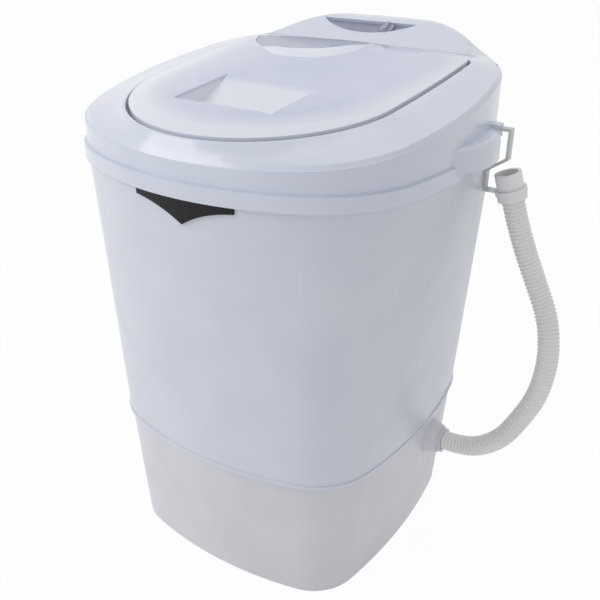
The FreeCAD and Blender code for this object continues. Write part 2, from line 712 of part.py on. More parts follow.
def cut_underside(body):
    """Skirt that slips over the case, and the hollow under the deck."""
    skirt = sketch(body, "skirt_inside", at=(0, 0, flange_top))
    case_ring(skirt, "rim", S.fit_gap)
    pocket(body, skirt, flange_top - S.skirt_bottom)
    low = sketch(body, "hollow_low", at=(0, 0, flange_top))
    case_ring(low, "rim", -S.cover_wall)
    high = sketch(body, "hollow_high", at=(0, 0, S.deck_height - S.deck_thickness), tilt=S.deck_tilt)
    case_ring(high, "rim", -S.cover_wall - S.cover_draft)
    loft(body, low, high, cut=True)


def on_console(up, out):
    """Reach and height of a point given along the console's slope and out of it."""
    y = S.console_foot + up * trig("cos", S.console_tilt) - out * trig("sin", S.console_tilt)
    z = console_foot_height() + up * trig("sin", S.console_tilt) + out * trig("cos", S.console_tilt)
    return y, z


def half_moon(sk, grow):
    """The panel's outline: straight at the top, round below, grown or shrunk all round."""
    middle = (S.panel_half * S.panel_half - S.panel_drop * S.panel_drop) / (2 * S.panel_drop)
    radius = middle + S.panel_drop + grow
    half = root(radius * radius - (middle - grow) * (middle - grow))
    spread = math.asin(half.number / radius.number)
    down = -math.pi / 2
    add_arc(sk, flat(0, middle), radius, down - spread, down + spread)
    sk.addGeometry(Part.LineSegment(flat(half, grow), flat(-half, grow)), False)
    sk.addConstraint(Sketcher.Constraint("Coincident", 0, 2, 1, 1))
    sk.addConstraint(Sketcher.Constraint("Coincident", 1, 2, 0, 1))
    place(sk, 1, 1, half, grow)
    place(sk, 1, 2, -half, grow)
    datum(sk, "Radius", radius, 0)


def cut_console_recess(body):
    """Half-moon recess for the panel, the timer's room behind it and the shaft's hole."""
    y, z = on_console(S.panel_top, 0)
    recess = sketch(body, "console_recess", at=(-S.panel_shift, y, z), tilt=S.console_tilt)
    half_moon(recess, as_size(0))
    pocket(body, recess, S.recess_panel_depth)
    room_top = S.recess_panel_depth + S.console_wall
    low_y, low_z = on_console(S.console_wall * 3, -room_top)
    back_y = S.console_crest + S.console_wall
    rise = (back_y - low_y) * trig("tan", S.console_tilt)
    room = sketch(body, "console_room", "YZ_Plane", (0, 0, S.console_room_half))
    polygon(room, [(low_y, flange_top), (back_y, flange_top), (back_y, low_z + rise), (low_y, low_z)])
    pocket(body, room, 2 * S.console_room_half)
    hole = sketch(body, "timer_hole", at=(-S.panel_shift, y, z), tilt=S.console_tilt)
    circle(hole, S.timer_shaft_radius + S.fit_gap, S.knob_x, -S.knob_drop)
    pocket(body, hole, room_top + S.console_wall)


# Lid


def on_dome(body, name, depth):
    """A sketch on the lid's crown, or at a depth under it."""
    return sketch(body, name, at=(0, 0, S.dome_height - depth), tilt=-S.dome_tilt)


def make_lid():
    """Domed lid with a finger scoop and a round hollow at the back behind a crescent lip."""
    body = new_body("lid")
    outline = sketch(body, "lid_outline", at=(0, 0, -S.recess_depth))
    lid_ring(outline, -S.lid_gap)
    pad(body, outline, S.recess_depth + S.lid_step)
    raise_dome(body)
    hollow = sketch(body, "lid_hollow", at=(0, 0, -S.lid_plate))
    lid_ring(hollow, -S.lid_gap - S.lid_wall)
    pocket(body, hollow, S.recess_depth)
    grow = S.scoop_wall
    cup = on_dome(body, "scoop_cup", S.scoop_depth + S.scoop_wall)
    rectangle(cup, -S.scoop_half - grow, S.scoop_half + grow, -S.scoop_front - grow, -S.scoop_back + grow)
    pad(body, cup, S.scoop_depth + S.scoop_wall - S.lid_plate / 2)
    mouth = on_dome(body, "scoop_mouth", 0)
    rectangle(mouth, -S.scoop_half, S.scoop_half, -S.scoop_front, -S.scoop_back)
    floor = on_dome(body, "scoop_floor", S.scoop_depth)
    rectangle(floor, -S.scoop_half + S.scoop_side_slope, S.scoop_half - S.scoop_side_slope,
              -S.scoop_front, -S.scoop_back - S.scoop_slope)
    loft(body, mouth, floor, cut=True)
    foot = on_dome(body, "lip_foot", S.lip_root)
    lip_outline(foot, S.lip_half, S.lip_width)
    ridge = on_dome(body, "lip_ridge", -S.lip_height)
    lip_outline(ridge, S.lip_half - S.lip_taper, S.lip_ridge)
    loft(body, foot, ridge)
    hollow = on_dome(body, "lid_inlet", -S.lip_height)
    circle(hollow, S.hollow_radius, -S.hollow_x, S.hollow_y)
    pocket(body, hollow, S.lip_height + S.hollow_depth)
    holes = sketch(body, "pin_holes", "YZ_Plane", (0, 0, S.lid_half))
    circle(holes, S.hinge_pin_radius, S.hinge_back, -S.hinge_depth)
    pocket(body, holes, 2 * S.lid_half)
    seat(body, (0, 0, S.lid_height), (along_x, S.lid_tilt))
    keep(body)
    y, z = lid_point(S.hinge_back, S.hinge_depth)
    out = S.lid_half + S.hinge_pin_reach
    pins = []
    for name, x in (("right", out - S.hinge_pin_length), ("left", -out)):
        pins.append(cylinder(f"pin_{name}", S.hinge_pin_radius, S.hinge_pin_length, (x, y, z), side_turn))
    keep(group("lid_hinge_pins", pins))


def raise_dome(body):
    """The lid's dome: steep at the sides, long at the front, flatter than the lid's edge."""
    corner = S.lid_back_corner - S.lid_gap
    low = sketch(body, "dome_low", at=(0, 0, S.lid_step))
    dome_ring(low, 0, 0, corner)
    share = S.dome_shoulder_height / S.dome_height
    middle = sketch(body, "dome_middle", at=(0, 0, S.dome_shoulder_height), tilt=-S.dome_tilt * share)
    dome_ring(middle, S.dome_shoulder, 0, corner)
    high = on_dome(body, "dome_high", 0)
    dome_ring(high, 1, 0, corner)
    loft(body, low, high, through=middle)
    under_low = sketch(body, "dome_under_low", at=(0, 0, -S.lid_plate))
    dome_ring(under_low, 0, -S.lid_wall, corner)
    under_high = on_dome(body, "dome_under_high", S.lid_plate)
    dome_ring(under_high, 1, -S.lid_wall, corner)
    loft(body, under_low, under_high, cut=True)


def on_hollow(x, y):
    """A point of the lid from the hollow's middle, in axes that are turned with its lip."""
    cos, sin = trig("cos", S.hollow_turn), trig("sin", S.hollow_turn)
    return x * cos - y * sin - S.hollow_x, x * sin + y * cos + S.hollow_y


def lip_outline(sk, half, width):
    """The lip's crescent: an arc round the hollow and a wider one with the same ends."""
    inner = S.hollow_radius - S.lip_lap
    ends = root(inner * inner - half * half)
    bow = inner - ends + width
    outer = (half * half + bow * bow) / (2 * bow)
    down = math.radians(S.hollow_turn.number) - math.pi / 2
    for geo, radius, middle in ((0, inner, as_size(0)), (1, outer, outer - bow - ends)):
        spread = math.asin(half.number / radius.number)
        add_arc(sk, flat(*on_hollow(as_size(0), middle)), radius, down - spread, down + spread)
        datum(sk, "Radius", radius, geo)
    sk.addConstraint(Sketcher.Constraint("Coincident", 0, 1, 1, 1))
    sk.addConstraint(Sketcher.Constraint("Coincident", 0, 2, 1, 2))
    place(sk, 0, 1, *on_hollow(-half, -ends))
    place(sk, 0, 2, *on_hollow(half, -ends))


def make_badge():
    """Bare V-shaped plate under the band that follows the case's front."""
    skin = new_body("badge_skin")
    for name, grow, cut in (("outside", S.skin_gap + S.badge_thickness, False), ("inside", S.skin_gap, True)):
        low = sketch(skin, f"badge_low_{name}", at=(0, 0, S.seam_height))
        case_ring(low, "seam", grow)
        high = sketch(skin, f"badge_high_{name}", at=(0, 0, S.body_top))
        case_ring(high, "rim", grow)
        loft(skin, low, high, cut=cut)
    wedge = new_body("badge_wedge")
    outline = sketch(wedge, "badge_outline", "XZ_Plane", (S.badge_x, 0, S.seam_half_y / 2))
    badge_outline(outline)
    pad(wedge, outline, S.rim_half_y)
    keep(boolean("Common", "badge", skin, wedge))


def badge_outline(sk):
    """A shallow V with a straight top, short ends and hollowed lower edges."""
    half, top = S.badge_half, S.badge_top
    end, tip = top - S.badge_end, top - S.badge_drop
    fall = end - tip
    chord = root(half * half + fall * fall)
    radius = (chord * chord / 4 + S.badge_bow * S.badge_bow) / (2 * S.badge_bow)
    lines = [((-half, end), (-half, top)), ((-half, top), (half, top)), ((half, top), (half, end))]
    for start, stop in lines:
        sk.addGeometry(Part.LineSegment(flat(*start), flat(*stop)), False)
    for side in (1, -1):
        outer, point = flat(side * half, end), flat(0, tip)
        along = (point - outer).normalize()
        down = Vector(-along.y, along.x, 0) * (1 if along.x > 0 else -1) * -1
        centre = (outer + point) * 0.5 + down * (radius - S.badge_bow).number
        first, last = sorted((bearing(centre, outer), bearing(centre, point)))
        add_arc(sk, centre, radius, first, last)
    for first in range(5):
        sk.addConstraint(Sketcher.Constraint("Coincident", first, 2, (first + 1) % 5, 1))
    for geo, x, y in ((0, -half, end), (1, -half, top), (2, half, top), (3, half, end), (4, 0, tip)):
        place(sk, geo, 1, x, y)
    datum(sk, "Radius", radius, 3)
    datum(sk, "Radius", radius, 4)


def make_timer():
    """Panel, knob, shaft and timer in the console."""
    slope = (along_x, S.console_tilt)
    panel = new_body("control_panel")
    outline = sketch(panel, "panel_outline")
    half_moon(outline, -S.fit_gap)
    circle(outline, S.timer_shaft_radius + S.fit_gap, S.knob_x, -S.knob_drop)
    pad(panel, outline, S.panel_thickness)
    seat(panel, (-S.panel_shift, *on_console(S.panel_top, -S.recess_panel_depth)), slope)
    keep(panel)
    knob_up = S.panel_top - S.knob_drop
    across = S.knob_x - S.panel_shift
    lift = S.panel_thickness + S.knob_lift - S.recess_panel_depth
    spot = (across, *on_console(knob_up, lift))
    disc = cylinder("knob_disc", S.knob_radius, S.knob_height / 2, spot, slope)
    bar_half = S.knob_radius - S.knob_bar_inset
    grip_base = (across - S.knob_grip / 2, *on_console(knob_up - bar_half, lift))
    grip = box("knob_bar", (S.knob_grip, 2 * bar_half, S.knob_height), grip_base, slope)
    bore = cylinder("knob_bore", S.timer_shaft_radius, S.knob_height / 2, spot, slope)
    keep(boolean("Cut", "timer_knob", boolean("Fuse", "knob_solid", disc, grip), bore))
    inside = -S.recess_panel_depth - S.console_wall
    keep(cylinder("timer_shaft", S.timer_shaft_radius, lift + S.knob_height / 2 - inside,
                  (across, *on_console(knob_up, inside)), slope))
    corner = on_console(knob_up - S.timer_case_y / 2, inside - S.timer_case_z)
    case_sizes = (S.timer_case_x, S.timer_case_y, S.timer_case_z)
    keep(box("timer_case", case_sizes, (across - S.timer_case_x / 2, *corner), slope))


# Tub and drive


def make_tub():
    """Round wash tub hung from the rim by its square flange."""
    body = new_body("wash_tub")
    flange = sketch(body, "tub_flange_outline", at=(0, 0, S.body_top))
    case_ring(flange, "rim", 0)
    pad(body, flange, S.tub_flange)
    mouth = sketch(body, "tub_mouth", at=(0, 0, flange_top))
    circle(mouth, S.tub_mouth_radius, 0, S.tub_middle)
    pocket(body, mouth, S.tub_flange)
    wall, low = S.tub_wall, S.tub_floor
    flat_radius = S.tub_floor_radius - S.tub_round
    revolve(body, "tub_section", [
        (S.tub_shaft_hole, low - wall), (flat_radius + wall / 2, low - wall),
        (S.tub_floor_radius + wall, low + S.tub_round - wall / 2), (S.tub_mouth_radius + wall, S.body_top),
        (S.tub_mouth_radius + wall, flange_top), (S.tub_mouth_radius, flange_top),
        (S.tub_floor_radius, low + S.tub_round), (flat_radius, low), (S.tub_shaft_hole, low)],
        0, S.tub_middle)
    holes = sketch(body, "tub_holes", at=(0, 0, low))
    circle(holes, S.drain_radius, S.drain_x, S.hose_y)
    for x, y in housing_bolt_spots():
        circle(holes, S.bolt_radius + S.fit_gap, x, y)
    pocket(body, holes, wall)
    keep(body)


def housing_bolt_spots():
    """Places of the bolts that hold the bearing housing under the tub."""
    reach = S.housing_bolt_circle * math.sqrt(0.5)
    return [(a * reach, S.tub_middle + b * reach) for a in (1, -1) for b in (1, -1)]


def tube(name, outer, inner, low, height, x=0, y=0):
    """A plain ring standing on end."""
    body = new_body(name)
    outline = sketch(body, f"{name}_ring", at=(0, 0, low))
    circle(outline, outer, x, y)
    circle(outline, inner, x, y)
    pad(body, outline, height)
    return keep(body)


def make_agitator():
    """Pulsator with its vanes, its screw and the drive shaft."""
    body = new_body("pulsator")
    low = S.tub_floor + S.pulsator_gap
    top = low + S.pulsator_height
    edge = S.pulsator_height / 3
    revolve(body, "pulsator_section", [
        (S.drive_radius, low), (S.pulsator_radius, low), (S.pulsator_radius, low + edge),
        (S.hub_radius * 1.6, low + 2 * edge), (S.hub_radius, top), (S.drive_radius, top)])
    vane = sketch(body, "vane_outline", at=(0, 0, low + edge / 2))
    polygon(vane, [(S.hub_radius / 2, -S.vane_half * 1.5), (S.vane_reach, -S.vane_half),
                   (S.vane_reach, S.vane_half), (S.hub_radius / 2, S.vane_half * 1.5)])
    raised = pad(body, vane, S.vane_height)
    pattern = body.newObject("PartDesign::PolarPattern", "vanes")
    pattern.Originals = [raised]
    pattern.Axis = (next(f for f in body.Origin.OriginFeatures if f.Role == "Z_Axis"), [""])
    pattern.Angle = 360
    bind(pattern, Occurrences=S.vane_count)
    body.Tip = pattern
    hub = sketch(body, "pulsator_hub_hole", at=(0, 0, top + S.vane_height))
    circle(hub, S.drive_radius)
    pocket(body, hub, S.vane_height + S.pulsator_height + S.pulsator_gap)
    seat(body, (0, S.tub_middle, 0))
    keep(body)
    shaft = cylinder("drive_rod", S.drive_radius, top - S.drive_bottom, (0, S.tub_middle, S.drive_bottom))
    thread_base = (0, S.tub_middle, top - S.pulsator_height)
    thread = cylinder("drive_thread", S.bolt_radius, S.pulsator_height, thread_base)
    keep(boolean("Cut", "drive_shaft", shaft, thread))
    head = cylinder("pulsator_screw_head", S.screw_head_radius, S.screw_head, (0, S.tub_middle, top))
    stem = cylinder("pulsator_screw_stem", S.bolt_radius, S.pulsator_height, thread_base)
    keep(boolean("Fuse", "pulsator_screw", head, stem))


def make_bearings():
    """Bearing housing under the tub with its two bearings, its seal and its bolts."""
    top = S.tub_floor - S.tub_wall
    body = new_body("bearing_housing")
    bore, neck = S.bearing_radius, S.drive_radius * 1.5
    seal_low = top - S.seal_height
    upper = seal_low - S.bearing_height
    revolve(body, "housing_section", [
        (bore, top), (S.housing_flange_radius, top), (S.housing_flange_radius, top - S.housing_flange),
        (S.housing_radius, top - S.housing_flange), (S.housing_radius, S.housing_bottom),
        (bore, S.housing_bottom), (bore, S.housing_bottom + S.bearing_height),
        (neck, S.housing_bottom + S.bearing_height), (neck, upper), (bore, upper)], 0, S.tub_middle)
    holes = sketch(body, "housing_holes", at=(0, 0, top))
    for x, y in housing_bolt_spots():
        circle(holes, S.bolt_radius + S.fit_gap, x, y)
    pocket(body, holes, S.housing_flange)
    keep(body)
    fit = S.drive_radius + S.running_gap
    tube("upper_bearing", bore, fit, upper, S.bearing_height, 0, S.tub_middle)
    tube("lower_bearing", bore, fit, S.housing_bottom, S.bearing_height, 0, S.tub_middle)
    tube("shaft_seal", bore, fit, seal_low, S.seal_height, 0, S.tub_middle)
    bolts = []
    under = top - S.housing_flange
    for i, (x, y) in enumerate(housing_bolt_spots()):
        head_base = (x, y, under - S.bolt_head)
        head = cylinder(f"housing_bolt_head_{i}", S.bolt_head_radius, S.bolt_head, head_base)
        grip = S.housing_flange + S.tub_wall
        stem = cylinder(f"housing_bolt_stem_{i}", S.bolt_radius, grip, (x, y, under))
        bolts.append(boolean("Fuse", f"housing_bolt_{i}", head, stem))
    keep(group("housing_bolts", bolts))


def pulley(name, radius, bore, y):
    """A flat-belt pulley with two rims."""
    low, rim = S.pulley_bottom, S.pulley_rim
    top = low + S.pulley_height
    body = new_body(name)
    revolve(body, f"{name}_section", [
        (bore, low), (radius + rim, low), (radius + rim, low + rim), (radius, low + rim), (radius, top - rim),
        (radius + rim, top - rim), (radius + rim, top), (bore, top)], 0, y)
    return keep(body)


def make_belt_drive():
    """Both pulleys and the belt round them."""
    pulley("drive_pulley", S.big_pulley_radius, S.drive_radius, S.tub_middle)
    pulley("motor_pulley", S.small_pulley_radius, S.motor_shaft_radius, S.motor_back)
    body = new_body("drive_belt")
    low = S.pulley_bottom + (S.pulley_height - S.belt_height) / 2
    outside = sketch(body, "belt_outside", at=(0, 0, low))
    belt_loop(outside, S.belt_gap + S.belt_thickness)
    pad(body, outside, S.belt_height)
    inside = sketch(body, "belt_inside", at=(0, 0, low + S.belt_height))
    belt_loop(inside, S.belt_gap)
    pocket(body, inside, S.belt_height)
    keep(body)


def belt_loop(sk, grow):
    """A loop of two arcs and two tangent lines round both pulleys."""
    big, small = S.big_pulley_radius + grow, S.small_pulley_radius + grow
    span = (S.motor_back - S.tub_middle).number
    lean = math.asin((big - small).number / span)
    ends = [(S.tub_middle, big, math.pi - lean, 2 * math.pi + lean),
            (S.motor_back, small, lean, math.pi - lean)]
    corners = []
    for y, radius, start, end in ends:
        centre = flat(0, y)
        add_arc(sk, centre, radius, start, end)
        corners.append([centre + Vector(math.cos(a), math.sin(a), 0) * radius.number for a in (start, end)])
    sk.addGeometry(Part.LineSegment(corners[0][1], corners[1][0]), False)
    sk.addGeometry(Part.LineSegment(corners[1][1], corners[0][0]), False)
    for first, first_end, second, second_end in ((0, 2, 2, 1), (2, 2, 1, 1), (1, 2, 3, 1), (3, 2, 0, 1)):
        sk.addConstraint(Sketcher.Constraint("Tangent", first, first_end, second, second_end))
    place(sk, 0, 3, 0, S.tub_middle)
    place(sk, 1, 3, 0, S.motor_back)
    datum(sk, "Radius", big, 0)
    datum(sk, "Radius", small, 1)


def make_motor():
    """Motor on rubber bushes over the floor plate, with its shaft and bolts."""
    body = new_body("motor")
    low, top, bell = S.motor_bottom, S.motor_bottom + S.motor_height, S.motor_bell
    bore = S.motor_shaft_radius + S.running_gap
    revolve(body, "motor_section", [
        (0, low), (S.motor_radius - bell, low), (S.motor_radius, low + bell), (S.motor_radius, top - bell),
        (S.motor_radius - bell, top), (bore, top), (bore, S.motor_shaft_bottom), (0, S.motor_shaft_bottom)],
        0, S.motor_back)
    feet = sketch(body, "motor_feet", at=(0, 0, low))
    reach = S.motor_foot + S.bush_radius
    rectangle(feet, -reach, reach, S.motor_back - S.motor_foot_half, S.motor_back + S.motor_foot_half)
    pad(body, feet, S.motor_foot_thickness)
    holes = sketch(body, "motor_foot_holes", at=(0, 0, low + S.motor_foot_thickness))
    for x in (S.motor_foot, -S.motor_foot):
        circle(holes, S.bolt_radius + S.fit_gap, x, S.motor_back)
    pocket(body, holes, S.motor_foot_thickness)
    keep(body)
    length = S.pulley_bottom + S.pulley_height - S.motor_shaft_bottom
    keep(cylinder("motor_shaft", S.motor_shaft_radius, length, (0, S.motor_back, S.motor_shaft_bottom)))
    bushes, bolts = [], []
    for side, x in (("right", S.motor_foot), ("left", -S.motor_foot)):
        stand = (x, S.motor_back, plate_top)
        bush = cylinder(f"bush_{side}", S.bush_radius, low - plate_top, stand)
        bore = cylinder(f"bush_bore_{side}", S.bolt_radius + S.fit_gap, low - plate_top, stand)
        bushes.append(boolean("Cut", f"motor_bush_{side}", bush, bore))
        head = cylinder(f"motor_bolt_head_{side}", S.bolt_head_radius, S.bolt_head,
                        (x, S.motor_back, low + S.motor_foot_thickness))
        grip = low + S.motor_foot_thickness - plate_top
        stem = cylinder(f"motor_bolt_stem_{side}", S.bolt_radius, grip, stand)
        bolts.append(boolean("Fuse", f"motor_bolt_{side}", head, stem))
    keep(group("motor_bushes", bushes))
    keep(group("motor_bolts", bolts))


def make_capacitor():
    """Motor capacitor standing in its clip on the floor plate."""
    x, y = S.capacitor_x, S.capacitor_y
    keep(cylinder("capacitor", S.capacitor_radius, S.capacitor_height, (x, y, plate_top)))
    inner = S.capacitor_radius + S.fit_gap
    tube("capacitor_clip", inner + S.clip_thickness, inner, plate_top, S.clip_height, x, y)


# Drain


def make_drain():
    """Grille in the tub's floor and the pipe that leads to the spout."""
    top = S.tub_floor - S.tub_wall
    grille = new_body("drain_filter")
    rim = sketch(grille, "grille_ring", at=(0, 0, top))
    outer = S.drain_radius - S.fit_gap
    circle(rim, outer, S.drain_x, S.hose_y)
    circle(rim, outer - S.grille_rim, S.drain_x, S.hose_y)
    pad(grille, rim, S.tub_wall)
    reach = outer - S.grille_rim / 2
    half = S.grille_bar / 2
    for name, x, y in (("across", reach, half), ("along", half, reach)):
        bar = sketch(grille, f"grille_{name}", at=(0, 0, top))
        rectangle(bar, S.drain_x - x, S.drain_x + x, S.hose_y - y, S.hose_y + y)
        pad(grille, bar, S.tub_wall)
    keep(grille)
    elbow = new_body("drain_elbow")
    ring_sketch = sketch(elbow, "elbow_ring", at=(0, 0, top))
    circle(ring_sketch, S.hose_radius, S.drain_x, S.hose_y)
    circle(ring_sketch, S.hose_bore, S.drain_x, S.hose_y)
    spine = sketch(elbow, "elbow_path", "XZ_Plane", (0, 0, -S.hose_y))
    elbow_path(spine, top)
    pipe = elbow.newObject("PartDesign::AdditivePipe", "elbow_pipe")
    pipe.Profile = ring_sketch
    pipe.Spine = spine
    flange = sketch(elbow, "elbow_flange", at=(0, 0, top - S.drain_flange_thickness))
    circle(flange, S.drain_flange, S.drain_x, S.hose_y)
    circle(flange, S.hose_bore, S.drain_x, S.hose_y)
    pad(elbow, flange, S.drain_flange_thickness)
    keep(elbow)


def elbow_path(sk, top):
    """Down from the tub, round a quarter bend and out to the hose."""
    x, z, bend = S.drain_x, S.hose_height, S.drain_bend
    sk.addGeometry(Part.LineSegment(flat(x, top), flat(x, z + bend)), False)
    centre = flat(x + bend, z + bend)
    add_arc(sk, centre, bend, math.pi, 1.5 * math.pi)
    sk.addGeometry(Part.LineSegment(flat(x + bend, z), flat(S.hose_start, z)), False)
    sk.addConstraint(Sketcher.Constraint("Tangent", 0, 2, 1, 1))
    sk.addConstraint(Sketcher.Constraint("Tangent", 1, 2, 2, 1))
    place(sk, 0, 1, x, top)
    sk.addConstraint(Sketcher.Constraint("Vertical", 0))
    place(sk, 2, 2, S.hose_start, z)
    sk.addConstraint(Sketcher.Constraint("Horizontal", 2))
    datum(sk, "Radius", bend, 1)


def hose_route():
    """Hand-chosen points of the hose, from the spout's inside up to its cuff."""
    start = Vector(S.hose_start.number, S.hose_y.number, S.hose_height.number)
    offsets = [(0, 0, 0), (32, 0, 0), (62, 0, 6), (88, 0, 29), (104, 3, 61), (115, 8, 89), (118, 15, 129),
               (109, 22, 168), (90, 27, 201), (66, 26, 251), (54, 22, 293)]
    return [start + Vector(*offset) for offset in offsets]


def rounded_route(points):
    """Straight runs and tangent arcs through a route, as (start, end, centre or None) pieces."""
    pieces = []
    radii = []
    last = points[0]
    for before, point, after in zip(points, points[1:], points[2:]):
        back, ahead = (before - point), (after - point)
        share = 0.45 * min(back.Length, ahead.Length)
        turn = math.pi - back.getAngle(ahead)
        radius = share / math.tan(turn / 2)
        enter = point + back.normalize() * share
        leave = point + ahead.normalize() * share
        inward = (enter + leave) * 0.5 - point
        centre = point + inward.normalize() * math.hypot(radius, share)
        pieces.append((last, enter, None))
        pieces.append((enter, leave, centre))
        radii.append(radius)
        last = leave
    pieces.append((last, points[-1], None))
    return pieces, radii


def along_route(pieces, step):
    """Points and directions along rounded pieces, as a function of the distance travelled."""
    for start, end, centre in pieces:
        length = piece_length(start, end, centre)
        if step <= length + 1e-9:
            return on_piece(start, end, centre, step / length)
        step -= length
    return on_piece(*pieces[-1], 1.0)


def piece_length(start, end, centre):
    """Length of a straight run or of an arc."""
    if centre is None:
        return (end - start).Length
    return (start - centre).Length * (start - centre).getAngle(end - centre)


def on_piece(start, end, centre, share):
    """Point and direction at a share of one piece."""
    if centre is None:
        return start + (end - start) * share, (end - start).normalize()
    arm, last = start - centre, end - centre
    axis = arm.cross(last).normalize()
    turn = Rotation(axis, math.degrees(arm.getAngle(last)) * share)
    spoke = turn.multVec(arm)
    return centre + spoke, axis.cross(spoke).normalize()


def hose_ring(spot, direction, radius):
    """A circle across the hose whose first point always lies towards +Y."""
    ahead = Vector(0, 1, 0) - direction * direction.y
    return ring_wire(spot, direction, ahead.normalize(), radius)


def ring_wire(spot, direction, ahead, radius):
    """A closed circle about a direction, starting on a given side."""
    side = direction.cross(ahead)
    quarter = [spot + ahead * radius, spot + side * radius, spot - ahead * radius, spot - side * radius]
    return Part.Wire([Part.Arc(quarter[0], quarter[1], quarter[2]).toShape(),
                      Part.Arc(quarter[2], quarter[3], quarter[0]).toShape()])


def make_hose():
    """Ribbed drain hose with its bore, hung in a loop beside the case."""
    pieces, radii = rounded_route(hose_route())
    length = sum(piece_length(*piece) for piece in pieces)
    print("hose length", round(length, 1), "bend radii", [round(r) for r in radii])
    plain = 2 * S.hose_radius.number
    count = int((length - 2 * plain) / S.hose_pitch.number)
    pitch = (length - 2 * plain) / count
    crest, root_radius = S.hose_radius.number, (S.hose_radius - S.hose_rib).number
    stations = [(0, crest), (plain, crest)]
    for i in range(count):
        begin = plain + i * pitch
        stations += [(begin + 0.15 * pitch, root_radius), (begin + 0.4 * pitch, root_radius),
                     (begin + 0.55 * pitch, crest), (begin + 0.98 * pitch, crest)]
    stations += [(length, crest)]
    rings = []
    for step, radius in stations:
        spot, direction = along_route(pieces, step)
        rings.append(hose_ring(spot, direction, radius))
    outside = Part.makeLoft(rings, True, True)
    path = []
    for start, end, centre in pieces:
        if centre is None:
            path.append(Part.LineSegment(start, end).toShape())
        else:
            middle, _ = on_piece(start, end, centre, 0.5)
            path.append(Part.Arc(start, middle, end).toShape())
    spot, direction = along_route(pieces, 0)
    bore = Part.Wire(path).makePipeShell([hose_ring(spot, direction, S.hose_bore.number)], True, False)
    hose = doc.addObject("Part::Feature", "drain_hose")
    hose.Label = "drain_hose"
    hose.Shape = outside.cut(bore)
    hose.Placement = Placement()
    print("hose ribs", count, "volume", round(hose.Shape.Volume), "of",
          round(math.pi * length * (crest ** 2 - S.hose_bore.number ** 2)))
    keep(hose)
    make_hose_ends(along_route(pieces, length))


def make_hose_ends(tip):
    """Collar at the spout, cuff on the free end and the clip that holds it."""
    gap = S.spout_gap
    mouth = (S.spout_end, S.hose_y, S.hose_height)
    collar = cylinder("collar_solid", S.collar_radius, S.collar_width, mouth, side_turn)
    hole = cylinder("collar_hole", S.hose_radius + gap, S.collar_width, mouth, side_turn)
    keep(boolean("Cut", "hose_collar", collar, hole))
    spot, direction = tip
    turn = Rotation(Vector(0, 0, 1), direction)
    foot = spot - direction * S.cuff_socket.number

    def stand(name, radius, height, lift):
        obj = doc.addObject("Part::Cylinder", name)
        obj.Placement = Placement(foot + direction * as_size(lift).number, turn)
        bind(obj, Radius=radius, Height=height)
        return obj

    outer = boolean("Fuse", "cuff_solid", stand("cuff_tube", S.cuff_radius, S.cuff_length, 0),
                    stand("cuff_ring", S.cuff_bead_radius, S.cuff_bead, 0))
    inner = boolean("Fuse", "cuff_room", stand("cuff_hole", S.cuff_bore, S.cuff_length, 0),
                    stand("cuff_mouth", S.hose_radius + gap, S.cuff_socket, 0))
    keep(boolean("Cut", "hose_cuff", outer, inner))
    clip_inner = S.cuff_radius + gap
    ring_solid = stand("clip_solid", clip_inner + S.clip_ring_wall, S.clip_ring_width, S.cuff_bead)
    arm = doc.addObject("Part::Box", "clip_arm")
    middle = foot + direction * (S.cuff_bead + S.clip_ring_width / 2).number
    arm_base = Vector(S.hanger_arm.number, middle.y - S.hanger_half.number, S.hanger_low.number)
    arm.Placement = Placement(arm_base, Rotation())
    bind(arm, Length=middle.x - S.hanger_arm, Width=2 * S.hanger_half, Height=S.hanger_strap)
    solid = boolean("Fuse", "clip_body", ring_solid, arm)
    keep(boolean("Cut", "hose_clip", solid, stand("clip_hole", clip_inner, S.cuff_length, 0)))


def make_hanger():
    """Strap that hangs from the rim behind the lug and carries the clip's arm."""
    body = new_body("hose_hanger")
    strap = S.hanger_strap
    outline = sketch(body, "hanger_outline", "XZ_Plane", (0, 0, -S.hanger_y - S.hanger_half))
    polygon(outline, [
        (S.hanger_boss, S.hanger_top), (S.hanger_out, S.hanger_top), (S.hanger_out, S.hanger_knee),
        (S.hanger_wall + strap, S.hanger_low_knee), (S.hanger_wall + strap, S.hanger_low + strap),
        (S.hanger_arm, S.hanger_low + strap), (S.hanger_arm, S.hanger_low), (S.hanger_wall, S.hanger_low),
        (S.hanger_wall, S.hanger_low_knee + strap / 2), (S.hanger_out - strap, S.hanger_knee + strap / 2),
        (S.hanger_out - strap, S.hanger_top - strap), (S.hanger_boss, S.hanger_top - strap)])
    pad(body, outline, 2 * S.hanger_half)
    keep(body)


def make_gland():
    """Grommet for the supply cord at the back of the base, square to its sloping wall."""
    lean = (S.seam_half_y - S.base_step - S.floor_half_y) / (S.seam_height - S.base_bottom)
    bow = S.gland_x * S.gland_x / (2 * S.floor_front_radius)
    wall = S.floor_half_y + (S.gland_z - S.base_bottom) * lean - bow
    outward = Vector((S.gland_x / S.floor_front_radius).number, 1, -lean.number).normalize()
    turn = Rotation(Vector(0, 0, 1), outward)
    middle = Vector(S.gland_x.number, wall.number, S.gland_z.number)

    def stand(name, radius, height, lift):
        obj = doc.addObject("Part::Cylinder", name)
        obj.Placement = Placement(middle + outward * lift.number, turn)
        bind(obj, Radius=radius, Height=height)
        return obj

    flange = stand("gland_flange", S.gland_flange, S.gland_length / 4, S.skin_gap)
    stem = stand("gland_stem", S.gland_radius - 2 * S.fit_gap, S.gland_length, -S.gland_length / 2)
    bore = stand("gland_bore", S.gland_bore, 2 * S.gland_length, -S.gland_length)
    keep(boolean("Cut", "cord_gland", boolean("Fuse", "gland_solid", flange, stem), bore))


